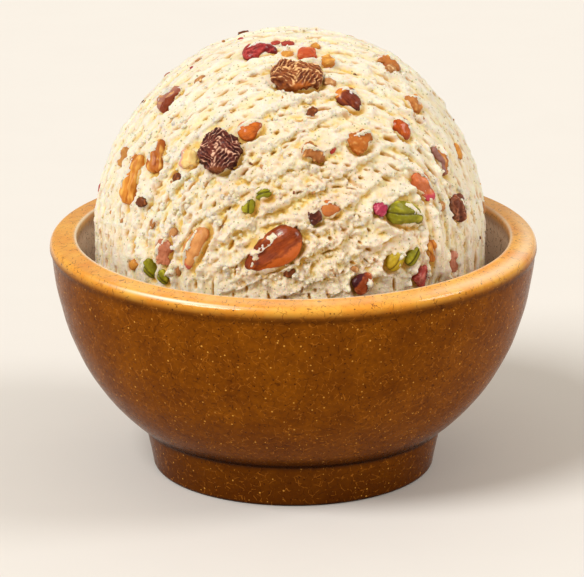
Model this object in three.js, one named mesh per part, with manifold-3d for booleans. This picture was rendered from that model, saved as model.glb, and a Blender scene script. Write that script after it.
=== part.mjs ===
// A footed stoneware bowl with one large ball of vanilla ice cream, full of dried fruit and nuts.
// Millimetres, +Z up. The origin is the middle of the foot ring's underside, and -Y is the front.
import * as THREE from 'three';
import { mergeVertices } from 'three/addons/utils/BufferGeometryUtils.js';
import Module from 'manifold-3d';

const wasm = await Module();
wasm.setup();

const DEGREE = Math.PI / 180;

// ---- Driving dimensions -------------------------------------------------------------------------

// Foot ring under the bowl, from the recess outwards and up to the crease.
const FOOT = {
  recessDepth: 3,
  recessRadius: 38.6,
  ringInner: 39.8,
  ringOuter: 42.2,
  cornerRadius: 1.8,
  bottomRadius: 43.7,
  middleRadius: 44.9,
  middleHeight: 8.4,
  topRadius: 46.2,
  topHeight: 13.2,
};

// Body and lip. The body's side is one long curve from the crease up to the lip.
const BOWL = {
  creaseRadius: 47.2,
  creaseHeight: 13.9,
  lowerPull: [54.6, 20.2],
  upperPull: [71.4, 33.7],
  sideRadius: 74.5,
  sideHeight: 69,
  lipRadius: 75,
  lipHeight: 70,
  shoulderRadius: 72.6,
  shoulderHeight: 73.3,
  rimRadius: 67.6,
  rimHeight: 73.9,
  mouthRadius: 66.5,
  mouthHeight: 72.6,
  floorHeight: 11,
  sideRoundness: 2.6,
  floorRoundness: 2.4,
  segments: 40,
  curveSteps: 3,
  sideSteps: 7,
  wallSteps: 9,
};

// The ball of ice cream. Below its middle it drops straight down to the bowl's wall.
const BALL = {
  centre: new THREE.Vector3(-1, 0, 77),
  radius: 59.6,
  wallGap: 0.7,
  halvings: 30,
};

// The scoop drew its streaks as rings round an axis that points at the viewer, a little to the right.
const STREAK = {
  axis: new THREE.Vector3(0.256, -0.964, -0.046).normalize(),
  spacing: 8.4,
  height: 2.6,
  calmHeight: 1.3,
  steepShare: 0.3,
  tornCentre: { east: 6, rise: 16 },
  tornSpread: 36 * DEGREE,
  rings: 50,
  openColumns: 25,
  openHalfAngle: 116 * DEGREE,
  hiddenColumns: 7,
  fadeTop: 66,
  fadeBottom: 46,
};

// Where the ball is torn, the streaks are straight and climb to the right: up is the way across them,
// start is the distance that joins them to the rings, and from and full bound how torn it has to be.
const STRAIGHT = {
  up: new THREE.Vector3(-0.485, 0.27, 0.832).normalize(),
  start: 29,
  from: 0.1,
  full: 0.45,
};

// How far the ledges stray from true rings, as shares of their spacing, and how their height varies
// from place to place.
const WANDER = { slowSize: 0.34, slowStart: 0.9, quickSize: 0.22, lostWhereStraight: 0.6 };
const PATCH = { depth: 0.32, start: 1.7 };

// Broad swellings and hollows that keep the ball from being round: where, how high and how wide.
const SWELLINGS = [
  { east: 82, rise: 56, height: 1.7, spread: 17 },
  { east: -85, rise: 42, height: -1.6, spread: 20 },
  { east: 88, rise: 33, height: -1.1, spread: 14 },
  { east: 40, rise: 8, height: 0.9, spread: 12 },
  { east: -20, rise: 58, height: 0.7, spread: 16 },
  { east: 165, rise: 44, height: 1.2, spread: 22 },
  { east: -140, rise: 20, height: -1.2, spread: 20 },
  { east: 130, rise: 14, height: 0.8, spread: 18 },
];

// Space left round every piece of fruit, so that no two solids touch.
const POCKET_GAP = 0.35;

// ---- Kinds of fruit and nut ----------------------------------------------------------------------

// square: 1 is round, less is boxier. taper narrows one end, bend curves the piece sideways, and
// lobes and dent press grooves along it. thick is a share of the width, and proud is the share of
// the thickness that stands out of the ice cream.
const KINDS = {
  raisin: { square: 0.8, taper: 0.05, bend: 0, lobes: 4, dent: 0.08, thick: 0.62, proud: 0.5,
            colour: 0x5b3520, roughness: 0.55 },
  almond: { square: 0.95, taper: 0.32, bend: 0.04, lobes: 2, dent: 0.03, thick: 0.62, proud: 0.36,
            colour: 0xb4551f, roughness: 0.35 },
  pistachio: { square: 0.92, taper: 0.18, bend: 0.05, lobes: 3, dent: 0.05, thick: 0.72, proud: 0.34,
               colour: 0x8c9326, roughness: 0.5 },
  cranberry: { square: 0.85, taper: 0.22, bend: 0.1, lobes: 3, dent: 0.09, thick: 0.66, proud: 0.36,
               colour: 0x8c1f22, roughness: 0.35 },
  apricot: { square: 0.62, taper: 0.12, bend: 0.12, lobes: 3, dent: 0.08, thick: 0.7, proud: 0.34,
             colour: 0xdc9440, roughness: 0.5 },
  nut: { square: 0.72, taper: 0.16, bend: 0.06, lobes: 3, dent: 0.08, thick: 0.72, proud: 0.32,
         colour: 0xc98a58, roughness: 0.6 },
  cashew: { square: 0.9, taper: -0.12, bend: 0.2, lobes: 2, dent: 0.06, thick: 0.8, proud: 0.32,
            colour: 0xd79a66, roughness: 0.5 },
  candied: { square: 0.55, taper: 0.05, bend: 0.05, lobes: 4, dent: 0.05, thick: 0.75, proud: 0.32,
             colour: 0xc8603c, roughness: 0.4 },
};

// Meshes of a large and of a small piece: facets round it and steps along it.
const FINE = { round: 7, steps: 5 };
const COARSE = { round: 6, steps: 4 };
const LARGE_FROM = 8;

// ---- Where each piece lies -----------------------------------------------------------------------

// east is the angle round the ball from the front towards +X, rise is the angle up from its middle,
// and turn is the angle of the long side, counted from level towards upright, seen from outside.
const FRONT_PIECES = [
  { name: 'raisin_top', kind: 'raisin', east: 4, rise: 63.5, long: 15.5, wide: 11, turn: -6 },
  { name: 'raisin_left', kind: 'raisin', east: -25.5, rise: 36, long: 13.2, wide: 11.6, turn: -3 },
  { name: 'raisin_right', kind: 'raisin', east: 60, rise: 13, long: 8.8, wide: 6, turn: -88 },
  { name: 'almond_front', kind: 'almond', east: -5, rise: 9, long: 19.5, wide: 9.6, turn: -146 },
  { name: 'almond_left', kind: 'almond', east: -16, rise: 44, long: 7.8, wide: 6, turn: 40 },
  { name: 'almond_top_right', kind: 'almond', east: 30, rise: 53.5, long: 9.4, wide: 7, turn: -70 },
  { name: 'almond_right', kind: 'almond', east: 48, rise: 40.5, long: 7.6, wide: 6, turn: -97 },
  { name: 'almond_middle', kind: 'almond', east: 12.5, rise: 20.5, long: 6, wide: 4.4, turn: -8 },
  { name: 'apricot_left', kind: 'apricot', east: -59.5, rise: 22, long: 15.6, wide: 5.8, turn: 97 },
  { name: 'apricot_fold', kind: 'apricot', east: -51.5, rise: 31, long: 10.5, wide: 5.2, turn: 108 },
  { name: 'pistachio_right', kind: 'pistachio', east: 37, rise: 16, long: 13.6, wide: 6.8, turn: -18 },
  { name: 'pistachio_yellow', kind: 'pistachio', east: 32, rise: 3.5, long: 7, wide: 5, turn: 36 },
  { name: 'pistachio_leaf', kind: 'pistachio', east: 38, rise: 4, long: 7, wide: 3.9, turn: 36 },
  { name: 'pistachio_upper', kind: 'pistachio', east: -8.5, rise: 25, long: 5, wide: 3.6, turn: 8 },
  { name: 'pistachio_lower', kind: 'pistachio', east: -12.5, rise: 21.5, long: 5.2, wide: 3.7, turn: 79 },
  { name: 'pistachio_low_left', kind: 'pistachio', east: -45.5, rise: -1.5, long: 7, wide: 4.6, turn: -50 },
  { name: 'pistachio_low_inner', kind: 'pistachio', east: -40, rise: -3, long: 5, wide: 3.8, turn: -55 },
  { name: 'cranberry_top', kind: 'cranberry', east: -37, rise: 75, long: 10.4, wide: 6.4, turn: 48 },
  { name: 'cranberry_right', kind: 'cranberry', east: 28.8, rise: 19.5, long: 5.4, wide: 4.4, turn: 50 },
  { name: 'cherry_right', kind: 'candied', east: 41.5, rise: -2.8, long: 6.2, wide: 4.6, turn: 40 },
  { name: 'papaya_top', kind: 'candied', east: 19, rise: 74.5, long: 5.8, wide: 4.4, turn: -20 },
  { name: 'papaya_right', kind: 'candied', east: 46.5, rise: 22.5, long: 10, wide: 5, turn: -70 },
  { name: 'pineapple_left', kind: 'candied', east: -37, rise: 32.5, long: 6, wide: 4.8, turn: 10 },
  { name: 'date_front', kind: 'candied', east: 21.5, rise: -2, long: 6.4, wide: 5.8, turn: 24 },
  { name: 'date_middle', kind: 'candied', east: 7.4, rise: 18.6, long: 4.4, wide: 3.6, turn: -60 },
  { name: 'peel_right', kind: 'apricot', east: 45.5, rise: 4, long: 7, wide: 3.6, turn: -84 },
  { name: 'cashew_left', kind: 'cashew', east: -28.5, rise: 7.5, long: 14.4, wide: 5.6, turn: 68 },
  { name: 'nut_top_left', kind: 'nut', east: -67, rise: 48, long: 9.6, wide: 6.6, turn: 94 },
  { name: 'nut_edge_left', kind: 'nut', east: -71.5, rise: 26, long: 6.6, wide: 4.2, turn: 88 },
  { name: 'nut_pink_left', kind: 'nut', east: -39.5, rise: 4.5, long: 8.4, wide: 5.2, turn: 82 },
  { name: 'nut_top_right', kind: 'nut', east: 76, rise: 59.5, long: 7.2, wide: 5.4, turn: -104 },
  { name: 'nut_upper_right', kind: 'nut', east: 63, rise: 46, long: 6, wide: 5.4, turn: -120 },
  { name: 'nut_middle_right', kind: 'nut', east: 27.5, rise: 39.5, long: 8.4, wide: 5.8, turn: 24 },
  { name: 'nut_middle', kind: 'nut', east: 8.5, rise: 37, long: 7.2, wide: 4.4, turn: -29 },
  { name: 'nut_slit_right', kind: 'nut', east: 60, rise: 28, long: 9.6, wide: 4.8, turn: -93 },
  { name: 'nut_low_right', kind: 'nut', east: 55, rise: -2, long: 7.4, wide: 4.8, turn: -81 },
];

// The back, which follows the same mixture: one kind after another down a loose spiral. Each piece
// keeps out of sight of a viewer at FRONT_VIEW, behind the ball's outline by the angle hiddenFrom.
const FRONT_VIEW = { east: 0, rise: 18 };
const BACK_KINDS = ['raisin', 'almond', 'apricot', 'pistachio', 'cranberry', 'nut', 'raisin',
                    'cashew', 'almond', 'candied', 'pistachio', 'nut'];
const BACK = {
  count: 18,
  seed: 20,
  highest: 56,
  lowest: 3,
  firstEast: 96,
  lastEast: 264,
  stride: 0.618,
  wander: 4,
  hiddenFrom: 107,
  smallestShare: 0.82,
  shareRange: 0.3,
  mostTries: 4000,
  shares: { raisin: [13, 11], almond: [15, 8], apricot: [13, 6], pistachio: [11, 6],
            cranberry: [9, 6], nut: [8, 6], cashew: [13, 6], candied: [8, 5.5] },
};

// Chopped bits too small to be pieces of their own, which are part of the ice cream's solid.
const FRONT_BITS = [
  { east: -32, rise: 82, long: 3.2, wide: 2.4, turn: 70 },
  { east: -4, rise: 81, long: 4, wide: 2.4, turn: 15 },
  { east: -3, rise: 75.5, long: 4, wide: 3.4, turn: 0 },
  { east: 31, rise: 69, long: 4.4, wide: 3.8, turn: -76 },
  { east: 38, rise: 78, long: 2.8, wide: 2.6, turn: -20 },
  { east: 24, rise: 60.5, long: 3.8, wide: 3, turn: -40 },
  { east: 10, rise: 50.5, long: 3.8, wide: 2.8, turn: 44 },
  { east: 15.5, rise: 38, long: 3.2, wide: 2.1, turn: 53 },
  { east: 68, rise: 58, long: 3, wide: 3, turn: 0 },
  { east: 52, rise: 15.5, long: 3, wide: 2.4, turn: 80 },
  { east: 74, rise: 27, long: 5.2, wide: 2.6, turn: -110 },
  { east: 19, rise: 2.5, long: 2.6, wide: 1.8, turn: -25 },
  { east: 0, rise: 2.2, long: 3.6, wide: 2.8, turn: 0 },
  { east: -36, rise: 11, long: 3, wide: 2.4, turn: 60 },
  { east: -45, rise: 12, long: 3, wide: 1.8, turn: 87 },
  { east: -52, rise: -2, long: 3.6, wide: 3, turn: 50 },
  { east: -34.5, rise: 0, long: 3.6, wide: 2, turn: 100 },
  { east: -39, rise: 26.5, long: 3.4, wide: 3, turn: 38 },
  { east: -50.5, rise: 17, long: 3.6, wide: 3, turn: 20 },
  { east: -60, rise: 58, long: 4, wide: 2, turn: 80 },
];
const BACK_BITS = {
  count: 14,
  seed: 7,
  highest: 74,
  lowest: 2,
  firstEast: 82,
  lastEast: 284,
  long: [2.6, 4.2],
  wide: [1.8, 3],
};
const BIT = { sink: 0.35, clearance: 1.2 };

const GLAZE = { colour: 0x8f5215, roughness: 0.25 };
const CREAM = { colour: 0xf3e3c0, roughness: 0.55 };

// ---- Small tools ---------------------------------------------------------------------------------

// Repeatable random numbers from 0 to 1.
function randomFrom(seed) {
  let state = seed;
  return () => {
    state = (state + 0x6d2b79f5) | 0;
    let mixed = Math.imul(state ^ (state >>> 15), 1 | state);
    mixed = (mixed + Math.imul(mixed ^ (mixed >>> 7), 61 | mixed)) ^ mixed;
    return ((mixed ^ (mixed >>> 14)) >>> 0) / 4294967296;
  };
}

// The unit direction from the ball's middle at these angles, in degrees.
function directionAt({ east, rise }) {
  const level = Math.cos(rise * DEGREE);
  const across = level * Math.sin(east * DEGREE);
  const forward = -level * Math.cos(east * DEGREE);
  return new THREE.Vector3(across, forward, Math.sin(rise * DEGREE));
}

// A closed solid from a geometry, its doubled corners merged.
function solidOf(geometry) {
  const bare = new THREE.BufferGeometry();
  bare.setAttribute('position', geometry.getAttribute('position').clone());
  bare.setIndex(geometry.index.clone());
  const merged = mergeVertices(bare, 1e-4);
  const vertProperties = new Float32Array(merged.getAttribute('position').array);
  const triVerts = new Uint32Array(merged.index.array);
  return new wasm.Manifold(new wasm.Mesh({ numProp: 3, vertProperties, triVerts }));
}

// The geometry of a solid.
function geometryOf(solid) {
  const { vertProperties, triVerts } = solid.getMesh();
  const geometry = new THREE.BufferGeometry();
  geometry.setAttribute('position', new THREE.BufferAttribute(vertProperties, 3));
  geometry.setIndex(new THREE.BufferAttribute(triVerts, 1));
  geometry.computeVertexNormals();
  return geometry;
}

function finish({ colour, roughness }) {
  return new THREE.MeshStandardMaterial({ color: colour, roughness, metalness: 0 });
}

// ---- Bowl ----------------------------------------------------------------------------------------

// Inner radius of the bowl at a height: a deep curve, steep at the mouth and flat at the floor.
function wallRadius(height) {
  const depth = (BOWL.mouthHeight - height) / (BOWL.mouthHeight - BOWL.floorHeight);
  return BOWL.mouthRadius * (1 - depth ** BOWL.sideRoundness) ** (1 / BOWL.floorRoundness);
}

// Points of the inner wall from the mouth down to the middle of the floor.
function wallPoints() {
  const points = [];
  for (let step = 1; step <= BOWL.wallSteps; step += 1) {
    const share = Math.sin((step / BOWL.wallSteps) * 90 * DEGREE);
    const height = THREE.MathUtils.lerp(BOWL.mouthHeight, BOWL.floorHeight, share);
    points.push(new THREE.Vector2(step === BOWL.wallSteps ? 0 : wallRadius(height), height));
  }
  return points;
}

// Underside, foot ring, body and lip, from the axis out and round to the mouth.
function outerPoints() {
  const foot = new THREE.Path();
  foot.moveTo(0, FOOT.recessDepth);
  foot.lineTo(FOOT.recessRadius, FOOT.recessDepth);
  foot.lineTo(FOOT.ringInner, 0);
  foot.lineTo(FOOT.ringOuter, 0);
  foot.quadraticCurveTo(FOOT.bottomRadius, 0, FOOT.bottomRadius, FOOT.cornerRadius);
  foot.quadraticCurveTo(FOOT.middleRadius, FOOT.middleHeight, FOOT.topRadius, FOOT.topHeight);
  foot.lineTo(BOWL.creaseRadius, BOWL.creaseHeight);
  const side = new THREE.CubicBezierCurve(
    new THREE.Vector2(BOWL.creaseRadius, BOWL.creaseHeight),
    new THREE.Vector2(...BOWL.lowerPull),
    new THREE.Vector2(...BOWL.upperPull),
    new THREE.Vector2(BOWL.sideRadius, BOWL.sideHeight),
  );
  const lip = new THREE.Path();
  lip.moveTo(BOWL.lipRadius, BOWL.lipHeight);
  lip.quadraticCurveTo(BOWL.lipRadius, BOWL.shoulderHeight, BOWL.shoulderRadius, BOWL.shoulderHeight);
  lip.lineTo(BOWL.rimRadius, BOWL.rimHeight);
  lip.quadraticCurveTo(BOWL.mouthRadius, BOWL.rimHeight, BOWL.mouthRadius, BOWL.mouthHeight);
  return [
    ...foot.getPoints(BOWL.curveSteps),
    ...side.getPoints(BOWL.sideSteps).slice(1),
    ...lip.getPoints(BOWL.curveSteps),
  ];
}

function makeBowl() {
  const profile = [...outerPoints(), ...wallPoints()];
  const geometry = new THREE.LatheGeometry(profile, BOWL.segments);
  geometry.rotateX(90 * DEGREE);
  const mesh = new THREE.Mesh(geometry, finish(GLAZE));
  mesh.name = 'bowl';
  return mesh;
}

// ---- Ice cream -----------------------------------------------------------------------------------

// Whether a point lies inside the bowl's hollow, clear of its wall and floor.
function isInsideBowl(point) {
  const lowered = point.z - BALL.wallGap;
  if (lowered >= BOWL.mouthHeight) return true;
  if (lowered <= BOWL.floorHeight) return false;
  return Math.hypot(point.x, point.y) < wallRadius(lowered) - BALL.wallGap;
}

// Distance from the ball's middle to the plain surface: a dome above, a straight side below, and
// the bowl's wall where the side has come down to it.
function plainReach(direction) {
  if (direction.z >= 0) return BALL.radius;
  let near = 0;
  let far = BALL.radius / Math.hypot(direction.x, direction.y, 1e-6);
  far = Math.min(far, BALL.centre.z);
  const point = new THREE.Vector3();
  const fits = (reach) => isInsideBowl(point.copy(BALL.centre).addScaledVector(direction, reach));
  if (fits(far)) return far;
  for (let halving = 0; halving < BALL.halvings; halving += 1) {
    const middle = (near + far) / 2;
    if (fits(middle)) near = middle;
    else far = middle;
  }
  return near;
}

// Sum of the broad swellings in a direction.
function swellingAt(direction) {
  let sum = 0;
  for (const swelling of SWELLINGS) {
    const away = direction.angleTo(directionAt(swelling)) / (swelling.spread * DEGREE);
    sum += swelling.height * Math.exp(-away * away);
  }
  return sum;
}

// How torn the surface is in a direction, from 0 to 1.
function tornAt(direction) {
  const away = direction.angleTo(directionAt(STREAK.tornCentre)) / STREAK.tornSpread;
  return Math.exp(-away * away);
}

// Ledges' count across the streaks in a direction: rings round the axis that run into straight
// streaks where the ball is torn, both wandering a little.
function phaseAt(direction, polar, turn, torn) {
  const straight = THREE.MathUtils.smoothstep(torn, STRAIGHT.from, STRAIGHT.full);
  const bands = direction.dot(STRAIGHT.up) * BALL.radius + STRAIGHT.start;
  const across = THREE.MathUtils.lerp(polar * BALL.radius, bands, straight);
  const slow = WANDER.slowSize * Math.sin(2 * turn + WANDER.slowStart);
  const wander = slow + WANDER.quickSize * Math.sin(5 * turn + 3 * polar);
  return across / STREAK.spacing + wander * (1 - WANDER.lostWhereStraight * straight);
}

// Ragged ledges left by the scoop. Each rises steeply on the side nearer to the axis and falls
// away slowly on the other.
function ledgeAt(direction, polar, turn) {
  const torn = tornAt(direction);
  const phase = phaseAt(direction, polar, turn, torn);
  const share = phase - Math.floor(phase);
  const steep = STREAK.steepShare;
  const profile = share < steep ? share / steep : (1 - share) / (1 - steep);
  const unevenness = Math.sin(4 * turn + 5 * polar + PATCH.start) * Math.sin(3 * turn - 4 * polar);
  const patch = 1 - PATCH.depth + PATCH.depth * unevenness;
  const height = THREE.MathUtils.lerp(STREAK.calmHeight, STREAK.height, torn);
  return height * patch * (profile - 0.5);
}

// The ice cream's surface in a direction, given also as its angle from the streaks' axis and its
// turn round it. The relief fades out inside the bowl.
function creamPoint(direction, polar, turn) {
  const reach = plainReach(direction);
  const height = BALL.centre.z + reach * direction.z;
  const fade = THREE.MathUtils.smoothstep(height, STREAK.fadeBottom, STREAK.fadeTop);
  const relief = fade * (swellingAt(direction) + ledgeAt(direction, polar, turn));
  return direction.clone().multiplyScalar(reach + relief).add(BALL.centre);
}

// Two directions square to the streaks' axis: the first as upright as can be.
function streakFrame() {
  const axis = STREAK.axis;
  const upright = new THREE.Vector3(0, 0, 1).addScaledVector(axis, -axis.z).normalize();
  const sideways = new THREE.Vector3().crossVectors(axis, upright);
  return { axis, upright, sideways };
}

// Angles round the axis: close together over the open part, wide apart where the bowl hides it.
function columnTurns() {
  const turns = [];
  const open = STREAK.openHalfAngle;
  for (let column = 0; column < STREAK.openColumns; column += 1) {
    turns.push(THREE.MathUtils.lerp(-open, open, column / STREAK.openColumns));
  }
  for (let column = 0; column < STREAK.hiddenColumns; column += 1) {
    turns.push(THREE.MathUtils.lerp(open, 2 * Math.PI - open, column / STREAK.hiddenColumns));
  }
  return turns;
}

// The bare ball before fruit is pressed into it: rings round the axis between two end points.
function bareCream() {
  const { axis, upright, sideways } = streakFrame();
  const turns = columnTurns();
  const positions = [];
  const indices = [];
  const put = (polar, turn) => {
    const direction = axis.clone().multiplyScalar(Math.cos(polar));
    direction.addScaledVector(upright, Math.sin(polar) * Math.cos(turn));
    direction.addScaledVector(sideways, Math.sin(polar) * Math.sin(turn));
    positions.push(...creamPoint(direction.normalize(), polar, turn).toArray());
  };
  put(0, 0);
  for (let ring = 1; ring < STREAK.rings; ring += 1) {
    for (const turn of turns) put((Math.PI * ring) / STREAK.rings, turn);
  }
  put(Math.PI, 0);
  const across = turns.length;
  const last = positions.length / 3 - 1;
  for (let column = 0; column < across; column += 1) {
    const next = (column + 1) % across;
    indices.push(0, 1 + column, 1 + next);
    for (let ring = 0; ring < STREAK.rings - 2; ring += 1) {
      const here = 1 + ring * across;
      const there = here + across;
      indices.push(here + column, there + column, there + next);
      indices.push(here + column, there + next, here + next);
    }
    indices.push(last, last - across + next, last - across + column);
  }
  const geometry = new THREE.BufferGeometry();
  geometry.setAttribute('position', new THREE.Float32BufferAttribute(positions, 3));
  geometry.setIndex(indices);
  return solidOf(geometry);
}

// ---- Fruit and nuts ------------------------------------------------------------------------------

// A piece lying along X, its outer face towards +Z: an ellipsoid made boxier, narrowed to one end,
// bent, and pressed into lobes. grow adds to it on every side.
function pieceGeometry(piece, grow = 0) {
  const kind = KINDS[piece.kind];
  const { round, steps } = piece.long >= LARGE_FROM ? FINE : COARSE;
  const geometry = new THREE.SphereGeometry(1, round, steps);
  const position = geometry.getAttribute('position');
  const boxier = (value) => Math.sign(value) * Math.abs(value) ** kind.square;
  for (let corner = 0; corner < position.count; corner += 1) {
    const along = boxier(position.getY(corner));
    const angle = Math.atan2(position.getZ(corner), -position.getX(corner));
    const lobe = 1 + kind.dent * Math.cos(kind.lobes * angle + 3 * along + piece.east);
    const narrow = (1 - kind.taper * along) * lobe;
    const sideways = boxier(-position.getX(corner)) * narrow;
    const outwards = boxier(position.getZ(corner)) * narrow;
    const bent = kind.bend * (1 - 2 * along * along);
    position.setXYZ(
      corner,
      along * (piece.long / 2 + grow),
      sideways * (piece.wide / 2 + grow) + bent * (piece.wide / 2),
      outwards * ((piece.wide * kind.thick) / 2 + grow),
    );
  }
  return geometry;
}

// Sets a mesh on the ball, its long side turned and its outer face outwards.
function layOnBall(mesh, piece, sink) {
  const out = directionAt(piece);
  const east = new THREE.Vector3(0, 0, 1).cross(out).normalize();
  const north = new THREE.Vector3().crossVectors(out, east);
  const turn = piece.turn * DEGREE;
  const along = east.clone().multiplyScalar(Math.cos(turn)).addScaledVector(north, Math.sin(turn));
  const across = new THREE.Vector3().crossVectors(out, along);
  mesh.quaternion.setFromRotationMatrix(new THREE.Matrix4().makeBasis(along, across, out));
  const reach = plainReach(out) + swellingAt(out) - sink;
  mesh.position.copy(BALL.centre).addScaledVector(out, reach);
  mesh.updateMatrixWorld(true);
}

function pieceSink(piece) {
  const kind = KINDS[piece.kind];
  return piece.wide * kind.thick * (0.5 - kind.proud);
}

function makePiece(piece) {
  const kind = KINDS[piece.kind];
  const mesh = new THREE.Mesh(pieceGeometry(piece), finish(kind));
  mesh.name = piece.name;
  layOnBall(mesh, piece, pieceSink(piece));
  return mesh;
}

// The hole that a piece leaves in the ice cream.
function pocketOf(piece) {
  const mesh = new THREE.Mesh(pieceGeometry(piece, POCKET_GAP));
  layOnBall(mesh, piece, pieceSink(piece));
  return solidOf(mesh.geometry.clone().applyMatrix4(mesh.matrixWorld));
}

// A chopped bit, as an eight-sided crumb half sunk in the ice cream.
function bitSolid(bit) {
  const geometry = new THREE.SphereGeometry(1, 4, 2);
  geometry.scale(bit.wide / 2, bit.long / 2, bit.wide / 2);
  geometry.rotateZ(-90 * DEGREE);
  const mesh = new THREE.Mesh(geometry);
  layOnBall(mesh, bit, bit.wide * BIT.sink * 0.5);
  return solidOf(mesh.geometry.clone().applyMatrix4(mesh.matrixWorld));
}

// Angle in degrees between two places on the ball.
function apart(one, other) {
  return directionAt(one).angleTo(directionAt(other)) / DEGREE;
}

// Whether a place keeps a clear distance to every piece in a list.
function isClear(place, pieces, clearance) {
  return pieces.every((piece) => {
    const needed = (place.long + piece.long) / 2 + clearance;
    return apart(place, piece) * DEGREE * BALL.radius > needed;
  });
}

// Pieces of the back, one after another down a spiral, moved on where they would crowd or show.
function backPieces() {
  const random = randomFrom(BACK.seed);
  const pieces = [];
  const span = BACK.lastEast - BACK.firstEast;
  let tries = 0;
  while (pieces.length < BACK.count && tries < BACK.mostTries) {
    const kind = BACK_KINDS[pieces.length % BACK_KINDS.length];
    const [long, wide] = BACK.shares[kind];
    const size = BACK.smallestShare + BACK.shareRange * random();
    const place = {
      name: `back_${kind}_${pieces.length + 1}`,
      kind,
      east: BACK.firstEast + span * ((tries * BACK.stride) % 1) + BACK.wander * (random() - 0.5),
      rise: THREE.MathUtils.lerp(BACK.highest, BACK.lowest, Math.sqrt(random())),
      long: long * size,
      wide: wide * size,
      turn: 360 * random(),
    };
    const isHidden = apart(place, FRONT_VIEW) > BACK.hiddenFrom;
    if (isHidden && isClear(place, [...FRONT_PIECES, ...pieces], BIT.clearance)) pieces.push(place);
    tries += 1;
  }
  return pieces;
}

// Chopped bits of the sides and back, by a seeded rule.
function backBits(pieces) {
  const random = randomFrom(BACK_BITS.seed);
  const bits = [];
  while (bits.length < BACK_BITS.count) {
    const bit = {
      east: THREE.MathUtils.lerp(BACK_BITS.firstEast, BACK_BITS.lastEast, random()),
      rise: THREE.MathUtils.lerp(BACK_BITS.lowest, BACK_BITS.highest, random()),
      long: THREE.MathUtils.lerp(...BACK_BITS.long, random()),
      wide: THREE.MathUtils.lerp(...BACK_BITS.wide, random()),
      turn: 180 * random(),
    };
    if (isClear(bit, [...pieces, ...bits], BIT.clearance)) bits.push(bit);
  }
  return bits;
}

// The largest body of a solid, without any crumb that a cut has left loose.
function largestBody(solid) {
  const bodies = solid.decompose();
  return bodies.reduce((best, body) => (body.volume() > best.volume() ? body : best));
}

function makeCream(pieces) {
  let cream = bareCream();
  for (const bit of [...FRONT_BITS, ...backBits(pieces)]) cream = cream.add(bitSolid(bit));
  for (const piece of pieces) cream = cream.subtract(pocketOf(piece));
  const mesh = new THREE.Mesh(geometryOf(largestBody(cream)), finish(CREAM));
  mesh.name = 'ice_cream';
  return mesh;
}

// ---- The whole -----------------------------------------------------------------------------------

const dessert = new THREE.Group();
const toppings = new THREE.Group();
const allPieces = [...FRONT_PIECES, ...backPieces()];
dessert.add(makeBowl());
dessert.add(makeCream(allPieces));
for (const piece of allPieces) toppings.add(makePiece(piece));
dessert.add(toppings);

export default dessert;
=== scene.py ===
"""A footed, honey-glazed bowl with one large ball of vanilla ice cream, full of dried fruit and nuts.

Sizes are in millimetres and become metres where a mesh is made. +Z is up, -Y is the front, and the
origin is the middle of the bowl's foot. Fruit and nuts lie where the frame's nodes lie, and the ice
cream keeps the frame's form under its own finer relief.
"""

import logging
import math
from collections.abc import Sequence
from dataclasses import dataclass, field, replace
from enum import Enum
from typing import Any
import bpy
import numpy as np
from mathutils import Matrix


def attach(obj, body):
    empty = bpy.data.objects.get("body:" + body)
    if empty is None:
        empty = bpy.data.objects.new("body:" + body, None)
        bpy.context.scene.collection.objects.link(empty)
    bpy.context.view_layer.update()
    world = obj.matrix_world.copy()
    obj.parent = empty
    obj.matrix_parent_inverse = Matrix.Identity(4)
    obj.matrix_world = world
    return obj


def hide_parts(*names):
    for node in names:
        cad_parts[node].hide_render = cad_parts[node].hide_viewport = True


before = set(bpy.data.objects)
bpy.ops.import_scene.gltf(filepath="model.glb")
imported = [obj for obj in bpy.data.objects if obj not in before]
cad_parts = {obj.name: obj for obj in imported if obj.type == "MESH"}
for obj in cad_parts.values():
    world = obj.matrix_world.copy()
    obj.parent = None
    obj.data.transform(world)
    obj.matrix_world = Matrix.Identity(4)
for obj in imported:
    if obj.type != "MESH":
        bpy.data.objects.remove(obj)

LOG = logging.getLogger("dessert")
MM = 0.001
TINY = 1e-12
UP = np.array([0.0, 0.0, 1.0])

Array = np.ndarray
Arrays = tuple[np.ndarray, np.ndarray]
Colour = tuple[float, float, float]  # on the screen, from 0 to 255
Light = tuple[float, float, float]  # linear
Pair = tuple[float, float]
Triple = tuple[float, float, float]
Inputs = dict[str | int, Any]
Layer = tuple[Any, Any, float]  # a mask, a colour and a strength
Material = bpy.types.Material
Node = bpy.types.Node
Tree = bpy.types.NodeTree
Outputs = bpy.types.NodeOutputs
Socket = bpy.types.NodeSocket


# ---- Numbers and shapes --------------------------------------------------------------------------


def blend(start: Any, end: Any, share: Any) -> Any:
    """Value a share of the way from start to end."""
    return start + (end - start) * share


def eased(value: Array, low: float, high: float) -> Array:
    """Rises smoothly from 0 at low to 1 at high, flat outside."""
    share = np.clip((value - low) / (high - low), 0.0, 1.0)
    return share * share * (3.0 - 2.0 * share)


def bell(value: Array, middle: float, width: float) -> Array:
    """Bell curve of height 1 round a middle value, down to 1/e at a width from it."""
    return np.exp(-(((value - middle) / width) ** 2))


def boxier(value: Array, power: float) -> Array:
    """Signed power: below 1 it pushes values from -1 to 1 out to the ends, which squares a round shape."""
    return np.sign(value) * np.abs(value) ** power


def unit(vectors: Array) -> Array:
    """Vectors of length 1 in the same directions."""
    return vectors / np.maximum(np.linalg.norm(vectors, axis=-1, keepdims=True), TINY)


def direction_at(east: Any, rise: Any) -> Array:
    """Unit direction at an angle round from the front towards +X and an angle up, both in degrees."""
    round_angle, up_angle = np.radians(east), np.radians(rise)
    level = np.cos(up_angle)
    return np.stack([level * np.sin(round_angle), -level * np.cos(round_angle), np.sin(up_angle)], axis=-1)


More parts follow.
